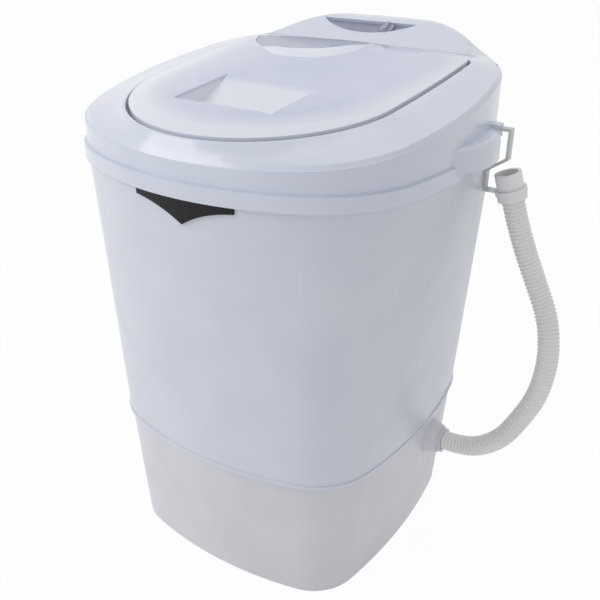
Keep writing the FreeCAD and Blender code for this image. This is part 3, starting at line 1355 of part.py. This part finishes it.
make_body_shell()
make_base_shell()
make_bottom_plate()
make_feet()
make_top_cover()
make_lid()
make_badge()
make_timer()
make_tub()
make_agitator()
make_bearings()
make_belt_drive()
make_motor()
make_capacitor()
make_drain()
make_hose()
make_hanger()
make_gland()
doc.recompute()

failed = [obj.Name for obj in doc.Objects if "Invalid" in obj.State or "Error" in obj.State]
failed += [part.Label for part in parts if part.Shape.isNull() or not part.Shape.isValid()]
if failed:
    raise RuntimeError(f"failed: {failed}")
os.makedirs("parts", exist_ok=True)
for part in parts:
    shape = part.Shape
    print(part.Label, len(shape.Solids), round(shape.Volume / 1000, 1))
    shape.exportStep(f"parts/{part.Label}.step")
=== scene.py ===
"""Looks of a mini washing machine with a tilted lid, a timer console and a hung drain hose.

Metres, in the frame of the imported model: the origin is on the floor under the middle of the
case, +Z is up, the front faces -Y and the drain hose is on the +X side.
"""

import logging
import math
from dataclasses import dataclass
from enum import Enum
from typing import Iterable, Sequence

import bpy
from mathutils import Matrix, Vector


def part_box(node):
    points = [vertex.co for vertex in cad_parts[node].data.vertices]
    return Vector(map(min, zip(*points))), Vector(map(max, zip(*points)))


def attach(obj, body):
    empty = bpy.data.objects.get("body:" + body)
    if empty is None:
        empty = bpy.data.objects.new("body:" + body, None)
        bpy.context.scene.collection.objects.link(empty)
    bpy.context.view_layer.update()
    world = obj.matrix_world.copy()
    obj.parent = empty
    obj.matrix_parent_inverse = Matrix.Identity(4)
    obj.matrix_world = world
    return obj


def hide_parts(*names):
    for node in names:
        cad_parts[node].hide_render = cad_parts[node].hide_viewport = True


log = logging.getLogger("mini_washer")
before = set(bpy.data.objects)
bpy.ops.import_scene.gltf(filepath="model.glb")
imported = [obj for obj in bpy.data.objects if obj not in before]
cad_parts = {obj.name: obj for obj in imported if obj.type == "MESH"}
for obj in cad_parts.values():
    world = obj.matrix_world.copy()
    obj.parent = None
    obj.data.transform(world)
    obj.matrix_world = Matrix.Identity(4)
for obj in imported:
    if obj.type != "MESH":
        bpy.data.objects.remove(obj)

MM = 0.001
# Points of a CAD node's loose triangles, and ends of two ribs, closer than this are one point.
WELD = 0.002 * MM
RIB_WELD = 0.02 * MM
Point = tuple[float, float, float]


class Body(Enum):
    """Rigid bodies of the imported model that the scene's own pieces ride on."""

    MACHINE = "machine"
    LID = "lid_set"


# Materials

# Roughness of a gloss coat, and how deep red, green and blue light scatter beside each other.
COAT_ROUGHNESS = 0.12
SCATTER = (1.0, 0.95, 1.0)
# Levels of the noise at which a cloud starts and is full, and the same for a smear of the gloss.
CLOUD_LEVELS = (0.35, 0.7)
SMEAR_LEVELS = (0.3, 0.7)
# Smears are this many times finer than clouds.
SMEARS_PER_CLOUD = 2.2
# Octaves of the noise of clouds and smears, and of the grain.
CLOUD_DETAIL = 1.0
GRAIN_DETAIL = 2.0
# Weight of the grain in the bump, and rays that round an edge.
GRAIN_STRENGTH = 0.6
EDGE_SAMPLES = 6


def linear(colour: str) -> tuple[float, float, float, float]:
    """Turn an sRGB hex value into linear colour.

    Args:
        colour: six hex digits after a hash sign.

    Returns:
        Red, green, blue and an alpha of one.
    """
    parts = [int(colour[i:i + 2], 16) / 255 for i in (1, 3, 5)]
    made = [c / 12.92 if c <= 0.04045 else ((c + 0.055) / 1.055) ** 2.4 for c in parts]
    return made[0], made[1], made[2], 1.0


def add_node(tree: bpy.types.NodeTree, kind: str, settings: dict | None = None,
             **inputs: object) -> bpy.types.Node:
    """Add a node with its settings, its input values and its links.

    Args:
        tree: node tree that gets the node.
        kind: Blender's name of the node's type.
        settings: properties of the node itself.
        **inputs: input sockets, named with underscores for spaces and i0, i1 for a place in
            the list; an output socket is linked and anything else is set.

    Returns:
        The new node.
    """
    node = tree.nodes.new(kind)
    for name, value in (settings or {}).items():
        setattr(node, name, value)
    for name, value in inputs.items():
        number = name[1:]
        key = int(number) if number.isdigit() else name.replace("_", " ")
        socket = node.inputs[key]
        if isinstance(value, bpy.types.NodeSocket):
            tree.links.new(value, socket)
        else:
            socket.default_value = value
    return node


@dataclass(frozen=True)
class Finish:
    """A moulded or turned surface with a cloudy colour, a fine bump and uneven gloss.

    Attributes:
        name: common name of the material and how it was made.
        colour: main colour as an sRGB hex value.
        shade: colour of its faint clouds.
        roughness: middle of its roughness.
        spread: how far the roughness strays.
        cloud: width of a cloud in millimetres.
        grain: width of the bump's grain in millimetres.
        bump: height of the bump in millimetres.
        metallic: one for a metal.
        coat: weight of a gloss coat.
        glow: weight of light scattered under the surface.
        depth: depth of that scatter in millimetres.
        ior: index of refraction, kept at Blender's own for a metal.
        edge: radius of its moulded edges in millimetres, none on thin walls and films.
    """

    name: str
    colour: str
    shade: str
    roughness: float = 0.35
    spread: float = 0.03
    cloud: float = 60.0
    grain: float = 3.0
    bump: float = 0.004
    metallic: float = 0.0
    coat: float = 0.0
    glow: float = 0.0
    depth: float = 2.0
    ior: float = 1.5
    edge: float = 0.8

    def material(self) -> bpy.types.Material:
        """Build the finish, or find it if it is built.

        Returns:
            The material.
        """
        return bpy.data.materials.get(self.name) or self.build()

    def build(self) -> bpy.types.Material:
        """Build the node tree.

        Returns:
            The new material.
        """
        made = bpy.data.materials.new(self.name)
        made.use_nodes = True
        tree = made.node_tree
        tree.nodes.clear()
        place = add_node(tree, "ShaderNodeTexCoord").outputs["Object"]
        shader = add_node(tree, "ShaderNodeBsdfPrincipled", Base_Color=self.tint(tree, place),
                          Metallic=self.metallic, Roughness=self.gloss(tree, place),
                          Normal=self.relief(tree, place))
        if not self.metallic:
            shader.inputs["IOR"].default_value = self.ior
        shader.inputs["Coat Weight"].default_value = self.coat
        shader.inputs["Coat Roughness"].default_value = COAT_ROUGHNESS
        shader.inputs["Subsurface Weight"].default_value = self.glow
        shader.inputs["Subsurface Radius"].default_value = SCATTER
        shader.inputs["Subsurface Scale"].default_value = self.depth * MM
        add_node(tree, "ShaderNodeOutputMaterial", Surface=shader.outputs["BSDF"])
        return made

    def tint(self, tree: bpy.types.NodeTree, place: bpy.types.NodeSocket) -> bpy.types.NodeSocket:
        """Colour with faint clouds.

        Args:
            tree: node tree of the material.
            place: object coordinates.

        Returns:
            The colour's socket.
        """
        cloud = add_node(tree, "ShaderNodeTexNoise", Vector=place, Scale=1 / (self.cloud * MM),
                         Detail=CLOUD_DETAIL)
        level = add_node(tree, "ShaderNodeMapRange", Value=cloud.outputs["Fac"],
                         From_Min=CLOUD_LEVELS[0], From_Max=CLOUD_LEVELS[1])
        mixed = add_node(tree, "ShaderNodeMix", {"data_type": "RGBA"}, i0=level.outputs["Result"],
                         i6=linear(self.colour), i7=linear(self.shade))
        return mixed.outputs[2]

    def gloss(self, tree: bpy.types.NodeTree, place: bpy.types.NodeSocket) -> bpy.types.NodeSocket:
        """Uneven roughness, as handled plastic or metal has.

        Args:
            tree: node tree of the material.
            place: object coordinates.

        Returns:
            The roughness socket.
        """
        smear = add_node(tree, "ShaderNodeTexNoise", Vector=place,
                         Scale=SMEARS_PER_CLOUD / (self.cloud * MM), Detail=CLOUD_DETAIL)
        level = add_node(tree, "ShaderNodeMapRange", Value=smear.outputs["Fac"],
                         From_Min=SMEAR_LEVELS[0], From_Max=SMEAR_LEVELS[1],
                         To_Min=self.roughness - self.spread, To_Max=self.roughness + self.spread)
        return level.outputs["Result"]

    def relief(self, tree: bpy.types.NodeTree, place: bpy.types.NodeSocket) -> bpy.types.NodeSocket:
        """Fine grain of the mould or the tool, over slightly rounded edges.

        Args:
            tree: node tree of the material.
            place: object coordinates.

        Returns:
            The normal's socket.
        """
        grain = add_node(tree, "ShaderNodeTexNoise", Vector=place, Scale=1 / (self.grain * MM),
                         Detail=GRAIN_DETAIL)
        bump = add_node(tree, "ShaderNodeBump", Height=grain.outputs["Fac"],
                        Strength=GRAIN_STRENGTH, Distance=self.bump * MM)
        if self.edge:
            rounded = add_node(tree, "ShaderNodeBevel", {"samples": EDGE_SAMPLES},
                               Radius=self.edge * MM)
            tree.links.new(rounded.outputs["Normal"], bump.inputs["Normal"])
        return bump.outputs["Normal"]


@dataclass(frozen=True)
class LidShadeFinish(Finish):
    """Milky plastic with a lilac middle of painted shade that fades to a paler colour where the lid
    curves down to its rim.

    Attributes:
        rim: colour of the rim as an sRGB hex value.
        rim_plane: height of the rim's plane over the origin, in metres.
        rim_slope: rise of that plane towards the back.
        low: height over the rim's plane at which the rim's colour ends, in millimetres.
        high: height over it at which the main colour is reached, in millimetres.
        fall: how much that height falls towards the back, per length.
    """

    rim: str = "#e6eaf5"
    rim_plane: float = 0.494
    rim_slope: float = 0.1051
    low: float = 2.2
    high: float = 6.0
    fall: float = 0.014

    def tint(self, tree: bpy.types.NodeTree, place: bpy.types.NodeSocket) -> bpy.types.NodeSocket:
        """Main colour, lilac as painted shade, that fades to the rim's paler colour.

        Args:
            tree: node tree of the material.
            place: object coordinates.

        Returns:
            The colour's socket.
        """
        middle = super().tint(tree, place)
        # Painted shade: the middle keeps the darker lilac and fades to the paler rim colour where
        # the lid curves down.
        spot = add_node(tree, "ShaderNodeSeparateXYZ", Vector=place)
        drop = add_node(tree, "ShaderNodeMath", {"operation": "MULTIPLY_ADD"}, i0=spot.outputs["Y"],
                        i1=self.fall - self.rim_slope, i2=spot.outputs["Z"])
        rise = add_node(tree, "ShaderNodeMapRange", {"interpolation_type": "SMOOTHSTEP"},
                        Value=drop.outputs[0], From_Min=self.rim_plane + self.low * MM,
                        From_Max=self.rim_plane + self.high * MM)
        mixed = add_node(tree, "ShaderNodeMix", {"data_type": "RGBA"}, i0=rise.outputs["Result"],
                         i6=linear(self.rim), i7=middle)
        return mixed.outputs[2]


# Injection-moulded ABS: a satin skin with a faint flow cloud and a little light inside.
CASE_ABS = Finish("case_moulded_abs", "#dde0ec", "#d9dce9", 0.33, glow=0.08, edge=0.0)
BASE_ABS = Finish("base_moulded_abs", "#dcdce4", "#d7d7df", 0.36, glow=0.08, edge=0.0)
# Polished ABS of the top cover: glossier and whiter than the case.
COVER_ABS = Finish("cover_polished_abs", "#dbe1ef", "#d7ddec", 0.22, coat=0.25, glow=0.08)
TUB_PP = Finish("tub_moulded_polypropylene", "#e3e6ee", "#dfe2eb", 0.3, glow=0.15, depth=3,
                edge=0.0)
# The lid's lip and hollow are of the same plastic as the rest; the lip's paler colour is a painted
# highlight.
LID_LIP_HIGHLIGHT_PP = Finish("lid_lip_painted_highlight", "#e8eefb", "#e4eaf8", 0.2, coat=0.3, glow=0.2,
                    depth=4)
# The hollow's darker lilac is painted shade.
LID_HOLLOW_SHADE_PP = Finish("lid_hollow_painted_shade", "#99a1bb", "#939bb6", 0.25, coat=0.3, glow=0.2,
                       depth=4, edge=0.0)
# Milky polypropylene with light inside; its lilac middle is painted shade of the dark inside seen
# through it.
LID_PP = LidShadeFinish("lid_milky_polypropylene_painted_shade", "#ccd2e7", "#c6cde4", 0.2, coat=0.3, glow=0.2,
                   depth=4)
BADGE_ABS = Finish("badge_dark_polished_abs", "#0a0b0d", "#15161a", 0.3, 0.12, cloud=6, ior=1.35)
PANEL_PC = Finish("panel_polycarbonate_film", "#8c90a2", "#9598aa", 0.3, cloud=14, coat=0.2,
                  edge=0.0)
KNOB_ABS = Finish("knob_moulded_abs", "#a9acbd", "#a0a3b6", 0.3, coat=0.2)
HOSE_PE = Finish("hose_blown_polyethylene", "#f5f5f2", "#eeefeb", 0.42, glow=0.1)
CUFF_PVC = Finish("cuff_soft_vinyl", "#f8f8f6", "#f2f3f0", 0.4, glow=0.1)
HANGER_PP = Finish("hanger_milky_polypropylene", "#d3d6d4", "#cbcfcd", 0.35, glow=0.15, edge=0.4)
DARK_PP = Finish("dark_polypropylene", "#2b2b2d", "#343437", 0.5)
PULSATOR_PP = Finish("pulsator_blue_polypropylene", "#7f93bd", "#768ab5", 0.32, coat=0.2)
CAPACITOR_PP = Finish("capacitor_case_polypropylene", "#dedcd4", "#d3d1c8", 0.45)
MOTOR_PAINT = Finish("motor_stoved_enamel", "#3a3c41", "#43454a", 0.4, coat=0.2)
CAST_ALLOY = Finish("cast_aluminium", "#b4b5b7", "#a5a6a9", 0.45, 0.1, grain=1.6, bump=0.05,
                    metallic=1.0)
STEEL = Finish("turned_steel", "#bcbdbf", "#a9aaad", 0.3, 0.08, grain=1.2, metallic=1.0)
RUBBER = Finish("moulded_rubber", "#1e1e1f", "#27272a", 0.72, grain=0.8, bump=0.04)


# Modelling


def deselect() -> None:
    """Leave object mode with nothing selected."""
    if bpy.context.mode != "OBJECT":
        bpy.ops.object.mode_set(mode="OBJECT")
    bpy.ops.object.select_all(action="DESELECT")


def activate(piece: bpy.types.Object) -> None:
    """Make a piece the only selected and active object."""
    deselect()
    piece.select_set(True)
    bpy.context.view_layer.objects.active = piece


def apply_modifiers(piece: bpy.types.Object) -> None:
    """Apply every modifier of a piece, in order."""
    activate(piece)
    for modifier in list(piece.modifiers):
        bpy.ops.object.modifier_apply(modifier=modifier.name)


def settle(piece: bpy.types.Object) -> None:
    """Put a piece's place into its mesh, so that its object sits at the origin."""
    activate(piece)
    bpy.ops.object.transform_apply(location=True, rotation=True, scale=True)


def dress(piece: bpy.types.Object, finish: Finish) -> None:
    """Give a piece a finish in place of what it had."""
    piece.data.materials.clear()
    piece.data.materials.append(finish.material())


def smooth(piece: bpy.types.Object, degrees: float = 35.0) -> None:
    """Shade a piece smoothly, with edges sharper than an angle left sharp."""
    activate(piece)
    bpy.ops.object.shade_smooth_by_angle(angle=math.radians(degrees))


def dress_nodes(finishes: dict[str, Finish]) -> None:
    """Give CAD nodes their finishes.

    Args:
        finishes: finish of each node by the node's name.
    """
    for name, finish in finishes.items():
        dress(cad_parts[name], finish)


def welded_copy(node: str, name: str) -> bpy.types.Object:
    """Copy a CAD node and join its loose triangles.

    Args:
        node: name of the CAD node.
        name: name of the copy.

    Returns:
        The copy.
    """
    activate(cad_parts[node])
    bpy.ops.object.duplicate()
    piece = bpy.context.object
    piece.name = name
    activate(piece)
    bpy.ops.object.mode_set(mode="EDIT")
    bpy.ops.mesh.select_all(action="SELECT")
    bpy.ops.mesh.remove_doubles(threshold=WELD)
    bpy.ops.object.mode_set(mode="OBJECT")
    if piece.data.has_custom_normals:
        bpy.ops.mesh.customdata_custom_splitnormals_clear()
    return piece


@dataclass(frozen=True)
class Skin:
    """A moulded node's welded copy, shaded as one surface, in the node's place.

    Attributes:
        node: name of the CAD node.
        slot: the record's material slot; not used.
        finish: what it is made of.
        degrees: edges sharper than this stay sharp.
        body: body that it rides on.
    """

    node: str
    slot: str
    finish: Finish
    degrees: float = 35.0
    body: Body = Body.MACHINE

    def build(self) -> bpy.types.Object:
        """Copy the node, weld it and put the copy in its place.

        Returns:
            The copy.
        """
        piece = welded_copy(self.node, f"{self.node}_skin")
        smooth(piece, self.degrees)
        dress(piece, self.finish)
        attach(piece, self.body.value)
        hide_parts(self.node)
        return piece


@dataclass(frozen=True)
class Lid(Skin):
    """The domed lid, with a painted highlight on its lip round painted shade on a hollow at its
    back.

    Attributes:
        lip: finish of the lip, paler as a painted highlight.
        hollow: finish of the hollow's floor, darker as painted shade.
        crown: a point of the dome's flat top.
        tilt: slope of that top in degrees.
        middle: X and Y of the hollow's middle in metres.
        radius: radius of the hollow in metres.
        lip_rise: height over the top at which a face is the lip's.
        hollow_low: lowest height of the hollow's floor over the top.
        hollow_high: highest height of that floor.
        level: how nearly square to the top that floor is, one for square.
    """

    lip: Finish = LID_LIP_HIGHLIGHT_PP
    hollow: Finish = LID_HOLLOW_SHADE_PP
    crown: Point = (0.0, -0.000627, 0.499967)
    tilt: float = 5.2
    middle: tuple[float, float] = (-0.052, 0.1238)
    radius: float = 0.0695
    lip_rise: float = 0.03 * MM
    hollow_low: float = -3.0 * MM
    hollow_high: float = -1.5 * MM
    level: float = 0.99

    def build(self) -> bpy.types.Object:
        """Make the lid and finish its lip and its hollow.

        Returns:
            The lid.
        """
        piece = super().build()
        piece.data.materials.append(self.lip.material())
        piece.data.materials.append(self.hollow.material())
        # The lip's faces get the painted highlight and the hollow's floor gets the painted shade.
        for face in piece.data.polygons:
            face.material_index = self.part_of(face)
        return piece

    def part_of(self, face: bpy.types.MeshPolygon) -> int:
        """Tell which part of the lid a face is.

        Args:
            face: a face of the lid.

        Returns:
            One on the lip, two on the hollow's floor and none elsewhere.
        """
        slope = math.radians(self.tilt)
        up = Vector((0.0, -math.sin(slope), math.cos(slope)))
        height = (face.center - Vector(self.crown)).dot(up)
        if height > self.lip_rise:
            return 1
        reach = math.hypot(face.center.x - self.middle[0], face.center.y - self.middle[1])
        flat = face.normal.dot(up) > self.level
        deep = self.hollow_low < height < self.hollow_high
        return 2 if flat and deep and reach < self.radius else 0


@dataclass(frozen=True)
class SeamLip:
    """Thin lip that runs round the foot of the case, over the base.

    Attributes:
        foot: height over the case's lowest edge at which the lip starts, in metres.
        height: height of the lip in metres.
        proud: how far it stands out from the case in metres.
    """

    foot: float = 0.3 * MM
    height: float = 3.6 * MM
    proud: float = 1.3 * MM

    def build(self) -> bpy.types.Object:
        """Cut a ring from a copy of the case's wall and thicken it outwards.

        Returns:
            The lip.
        """
        piece = welded_copy("body_shell", "seam_lip")
        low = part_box("body_shell")[0][2] + self.foot
        bpy.ops.object.mode_set(mode="EDIT")
        for level, above in ((low, False), (low + self.height, True)):
            bpy.ops.mesh.select_all(action="SELECT")
            bpy.ops.mesh.bisect(plane_co=(0, 0, level), plane_no=(0, 0, 1), clear_inner=not above,
                                clear_outer=above)
        bpy.ops.mesh.select_mode(type="FACE")
        bpy.ops.mesh.select_all(action="DESELECT")
        bpy.ops.object.mode_set(mode="OBJECT")
        # Only the faces that look outwards are left to thicken.
        for face in piece.data.polygons:
            face.select = face.normal.x * face.center.x + face.normal.y * face.center.y <= 0
        bpy.ops.object.mode_set(mode="EDIT")
        bpy.ops.mesh.delete(type="FACE")
        bpy.ops.object.mode_set(mode="OBJECT")
        wall = piece.modifiers.new("proud", "SOLIDIFY")
        wall.thickness = self.proud
        wall.offset = 1.0
        apply_modifiers(piece)
        smooth(piece)
        dress(piece, CASE_ABS)
        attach(piece, Body.MACHINE.value)
        return piece


@dataclass
class DrainHose:
    """Ribbed drain hose, from the spout up to its cuff.

    Attributes:
        start: where the hose begins inside the spout.
        offsets: the route's points from there, in millimetres.
        length: length along the tube in metres; not used.
        radius: outside radius in metres.
        bore: inside radius in metres.
        rib: height of a rib in metres.
        pitch: distance between ribs in metres.
        profile: shares of the pitch and of the rib's height along one rib.
        sides: faces round the tube.
        steps: points of the centre line for each point of the route.
        crease: edges sharper than this many degrees stay sharp.
    """

    start: Point = (0.146, 0.042, 0.112)
    offsets: Sequence[Point] = (
        (0, 0, 0), (32, 0, 0), (62, 0, 6), (88, 0, 29), (104, 3, 61), (115, 8, 89), (118, 15, 129),
        (109, 22, 168), (90, 27, 201), (66, 26, 251), (54, 22, 293))
    length: float = 0.3803
    radius: float = 0.0106
    bore: float = 0.0075
    rib: float = 0.0011
    pitch: float = 0.0039
    profile: Sequence[tuple[float, float]] = (
        (0.0, 0.75), (0.1, 0.2), (0.2, 0.0), (0.34, 0.0), (0.44, 0.2), (0.54, 0.75), (0.62, 1.0),
        (0.92, 1.0), (1.0, 0.75))
    sides: int = 40
    steps: int = 24
    crease: float = 60.0

    def route(self) -> bpy.types.Object:
        """Draw the hose's centre line.

        Returns:
            A curve of one smooth spline.
        """
        curve = bpy.data.curves.new("hose_route", "CURVE")
        curve.dimensions = "3D"
        curve.resolution_u = self.steps
        spline = curve.splines.new("NURBS")
        spline.points.add(len(self.offsets) - 1)
        for point, offset in zip(spline.points, self.offsets):
            spot = Vector(self.start) + Vector(offset) * MM
            point.co = (*spot, 1.0)
        spline.order_u = 3
        spline.use_endpoint_u = True
        line = bpy.data.objects.new("hose_route", curve)
        bpy.context.scene.collection.objects.link(line)
        return line

    def centreline(self, line: bpy.types.Object) -> list[Point]:
        """Read the points of the centre line.

        Args:
            line: the route's curve.

        Returns:
            Points along the curve.
        """
        bpy.context.view_layer.update()
        mesh = bpy.data.meshes.new_from_object(line)
        points = [tuple(v.co) for v in mesh.vertices]
        bpy.data.meshes.remove(mesh)
        return points

    def rib_ring(self, pitch: float) -> bpy.types.Object:
        """Model one rib of the hose along +X.

        Args:
            pitch: length of the rib.

        Returns:
            An open tube one pitch long.
        """
        low = self.radius - self.rib
        stations = [(step * pitch, low + share * self.rib) for step, share in self.profile]
        deselect()
        bpy.ops.mesh.primitive_circle_add(vertices=self.sides, radius=stations[0][1],
                                          rotation=(0, math.pi / 2, 0))
        piece = bpy.context.object
        piece.name = "drain_hose_skin"
        settle(piece)
        bpy.ops.object.mode_set(mode="EDIT")
        bpy.ops.mesh.select_all(action="SELECT")
        for (x0, r0), (x1, r1) in zip(stations, stations[1:]):
            bpy.ops.mesh.extrude_edges_move(TRANSFORM_OT_translate={"value": (x1 - x0, 0, 0)})
            bpy.ops.transform.resize(value=(1, r1 / r0, r1 / r0), center_override=(x1, 0, 0))
        bpy.ops.object.mode_set(mode="OBJECT")
        return piece

    def build(self, fittings: list[bpy.types.Object]) -> bpy.types.Object:
        """Args:
            fittings: the separate pieces on the hose; not used.

        Returns:
            The hose.
        """
        line = self.route()
        points = self.centreline(line)
        run = sum((Vector(b) - Vector(a)).length for a, b in zip(points, points[1:]))
        count = round(run / self.pitch)
        pitch = run / count
        piece = self.rib_ring(pitch)
        row = piece.modifiers.new("ribs", "ARRAY")
        row.count = count
        row.use_relative_offset = False
        row.use_constant_offset = True
        row.constant_offset_displace = (pitch, 0, 0)
        row.use_merge_vertices = True
        row.merge_threshold = RIB_WELD
        bend = piece.modifiers.new("lay", "CURVE")
        bend.object = line
        bend.deform_axis = "POS_X"
        wall = piece.modifiers.new("wall", "SOLIDIFY")
        wall.thickness = self.radius - self.rib - self.bore
        wall.offset = -1.0
        apply_modifiers(piece)
        bpy.data.objects.remove(line)
        activate(piece)
        bpy.ops.object.mode_set(mode="EDIT")
        bpy.ops.mesh.select_all(action="SELECT")
        bpy.ops.mesh.normals_make_consistent(inside=False)
        bpy.ops.object.mode_set(mode="OBJECT")
        smooth(piece, self.crease)
        dress(piece, HOSE_PE)
        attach(piece, Body.MACHINE.value)
        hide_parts("drain_hose")
        return piece


def seen_white(tree: bpy.types.NodeTree) -> bpy.types.NodeSocket:
    """Tell the rays that see the background: the camera's, and those of gloss and clear plastic.

    Args:
        tree: node tree of the floor or the world.

    Returns:
        A socket that is one for such a ray.
    """
    path = add_node(tree, "ShaderNodeLightPath")
    larger = {"operation": "MAXIMUM"}
    gloss = add_node(tree, "ShaderNodeMath", larger, i0=path.outputs["Is Glossy Ray"],
                     i1=path.outputs["Is Transmission Ray"])
    return add_node(tree, "ShaderNodeMath", larger, i0=path.outputs["Is Camera Ray"],
                    i1=gloss.outputs[0]).outputs[0]


@dataclass(frozen=True)
class Lamp:
    """A soft square lamp.

    Attributes:
        name: the lamp's name.
        place: where it hangs.
        target: where it points.
        size: length of its side in metres.
        power: strength in watts.
    """

    name: str
    place: Point
    target: Point
    size: float
    power: float

    def hang(self) -> None:
        """Hang the lamp and turn it to its target."""
        data = bpy.data.lights.new(self.name, "AREA")
        data.size = self.size
        data.energy = self.power
        lamp = bpy.data.objects.new(self.name, data)
        lamp.location = self.place
        aim = Vector(self.target) - Vector(self.place)
        lamp.rotation_euler = aim.to_track_quat("-Z", "Y").to_euler()
        bpy.context.scene.collection.objects.link(lamp)


@dataclass
class Studio:
    """Floor, lights and the camera of the photograph's view.

    Attributes:
        target: point that the camera looks at.
        azimuth: direction of the camera round the object, in degrees.
        elevation: height of the camera in degrees.
        distance: distance from the target in metres.
        focal: focal length in pixels of a 600 pixel frame.
        centre: pixel of the picture that the target falls on.
        frame_px: side of the picture in pixels.
        sensor: width of the camera's sensor in millimetres.
        reach: nearest and farthest distance that the camera sees, in metres.
        floor_side: length of the floor's side in metres.
        floor_shine: share of plain white in the floor that the camera sees.
        sky_light: strength of the light from all round.
        sky_white: strength of the sky that the camera or a reflection sees.
        lamps: the lamps.
    """

    target: Point = (0.0, 0.0, 0.2331)
    azimuth: float = 33.85
    elevation: float = 28.31
    distance: float = 0.8787
    focal: float = 795.3
    centre: tuple[float, float] = (295.4, 318.6)
    frame_px: int = 600
    sensor: float = 36.0
    reach: tuple[float, float] = (0.01, 50.0)
    floor_side: float = 12.0
    floor_shine: float = 0.96
    sky_light: float = 0.53
    sky_white: float = 1.0
    lamps: Sequence[Lamp] = (
        Lamp("key", (-1.7, -1.6, 2.1), (0.0, 0.0, 0.3), 1.6, 27.0),
        Lamp("fill", (2.0, -1.2, 1.2), (0.0, 0.0, 0.25), 1.8, 1.2),
        Lamp("top", (0.2, 0.6, 2.4), (0.0, 0.0, 0.4), 1.6, 5.0),
    )

    def build(self) -> None:
        """Set up the whole stage."""
        bpy.context.scene.view_settings.view_transform = "Standard"
        self.camera()
        self.floor()
        self.sky()
        for lamp in self.lamps:
            lamp.hang()

    def camera(self) -> None:
        """Place the camera."""
        turn, lift = math.radians(self.azimuth), math.radians(self.elevation)
        level = math.cos(lift)
        back = Vector((math.sin(turn) * level, -math.cos(turn) * level, math.sin(lift)))
        data = bpy.data.cameras.new("photo_view")
        data.sensor_width = self.sensor
        data.lens = self.focal / self.frame_px * data.sensor_width
        data.shift_x = (self.frame_px / 2 - self.centre[0]) / self.frame_px
        data.shift_y = (self.centre[1] - self.frame_px / 2) / self.frame_px
        data.clip_start, data.clip_end = self.reach
        camera = bpy.data.objects.new("photo_view", data)
        camera.location = Vector(self.target) + back * self.distance
        camera.rotation_euler = (-back).to_track_quat("-Z", "Y").to_euler()
        bpy.context.scene.collection.objects.link(camera)
        bpy.context.scene.camera = camera

    def floor(self) -> None:
        """Lay a plain pale floor that shows white to the camera and keeps the shadow."""
        deselect()
        bpy.ops.mesh.primitive_plane_add(size=self.floor_side)
        floor = bpy.context.object
        floor.name = "floor"
        made = bpy.data.materials.new("floor_pale_paper")
        made.use_nodes = True
        tree = made.node_tree
        tree.nodes.clear()
        paper = add_node(tree, "ShaderNodeBsdfDiffuse", Color=linear("#fbfbfb"))
        shine = add_node(tree, "ShaderNodeEmission", Color=linear("#ffffff"), Strength=1.0)
        seen = add_node(tree, "ShaderNodeMath", {"operation": "MULTIPLY"}, i0=seen_white(tree),
                        i1=self.floor_shine)
        mixed = add_node(tree, "ShaderNodeMixShader", i0=seen.outputs[0], i1=paper.outputs["BSDF"],
                         i2=shine.outputs["Emission"])
        add_node(tree, "ShaderNodeOutputMaterial", Surface=mixed.outputs["Shader"])
        floor.data.materials.append(made)

    def sky(self) -> None:
        """Light from all round, white where the camera or a reflection sees it."""
        world = bpy.data.worlds.new("studio")
        bpy.context.scene.world = world
        world.use_nodes = True
        tree = world.node_tree
        tree.nodes.clear()
        strength = add_node(tree, "ShaderNodeMapRange", Value=seen_white(tree),
                            To_Min=self.sky_light, To_Max=self.sky_white)
        light = add_node(tree, "ShaderNodeBackground", Color=linear("#ffffff"),
                         Strength=strength.outputs["Result"])
        add_node(tree, "ShaderNodeOutputWorld", Surface=light.outputs["Background"])


SKINS = (
    Skin("top_cover", "cover_plastic", COVER_ABS, 28.0),
    Lid("lid", "lid_plastic", LID_PP, 30.0, Body.LID),
)

# The nodes that keep their own meshes.
NODE_FINISHES: dict[str, Finish] = {
    "body_shell": CASE_ABS, "base_shell": BASE_ABS, "bottom_plate": BASE_ABS, "badge": BADGE_ABS,
    "control_panel": PANEL_PC, "timer_knob": KNOB_ABS, "timer_shaft": STEEL,
    "timer_case": DARK_PP, "lid_hinge_pins": STEEL, "wash_tub": TUB_PP, "pulsator": PULSATOR_PP,
    "drive_shaft": STEEL, "pulsator_screw": STEEL, "bearing_housing": CAST_ALLOY,
    "upper_bearing": STEEL, "lower_bearing": STEEL, "shaft_seal": RUBBER, "housing_bolts": STEEL,
    "drive_pulley": DARK_PP, "motor_pulley": CAST_ALLOY, "drive_belt": RUBBER,
    "motor": MOTOR_PAINT, "motor_shaft": STEEL, "motor_bushes": RUBBER, "motor_bolts": STEEL,
    "capacitor": CAPACITOR_PP, "capacitor_clip": DARK_PP, "drain_filter": TUB_PP,
    "drain_elbow": DARK_PP, "hose_collar": BASE_ABS, "hose_cuff": CUFF_PVC, "hose_clip": CUFF_PVC,
    "hose_hanger": HANGER_PP, "cord_gland": RUBBER, "plate_screws": STEEL,
    "foot_back_left": RUBBER, "foot_back_right": RUBBER, "foot_front_left": RUBBER,
    "foot_front_right": RUBBER,
}


def main() -> None:
    """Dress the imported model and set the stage."""
    logging.basicConfig(level=logging.INFO)
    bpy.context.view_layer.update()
    dress_nodes(NODE_FINISHES)
    Studio().build()
    hose = DrainHose().build([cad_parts["hose_cuff"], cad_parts["hose_clip"]])
    for piece in [hose, *(skin.build() for skin in SKINS), SeamLip().build()]:
        log.info("%s: %d faces", piece.name, len(piece.data.polygons))


if __name__ == "__main__":
    main()
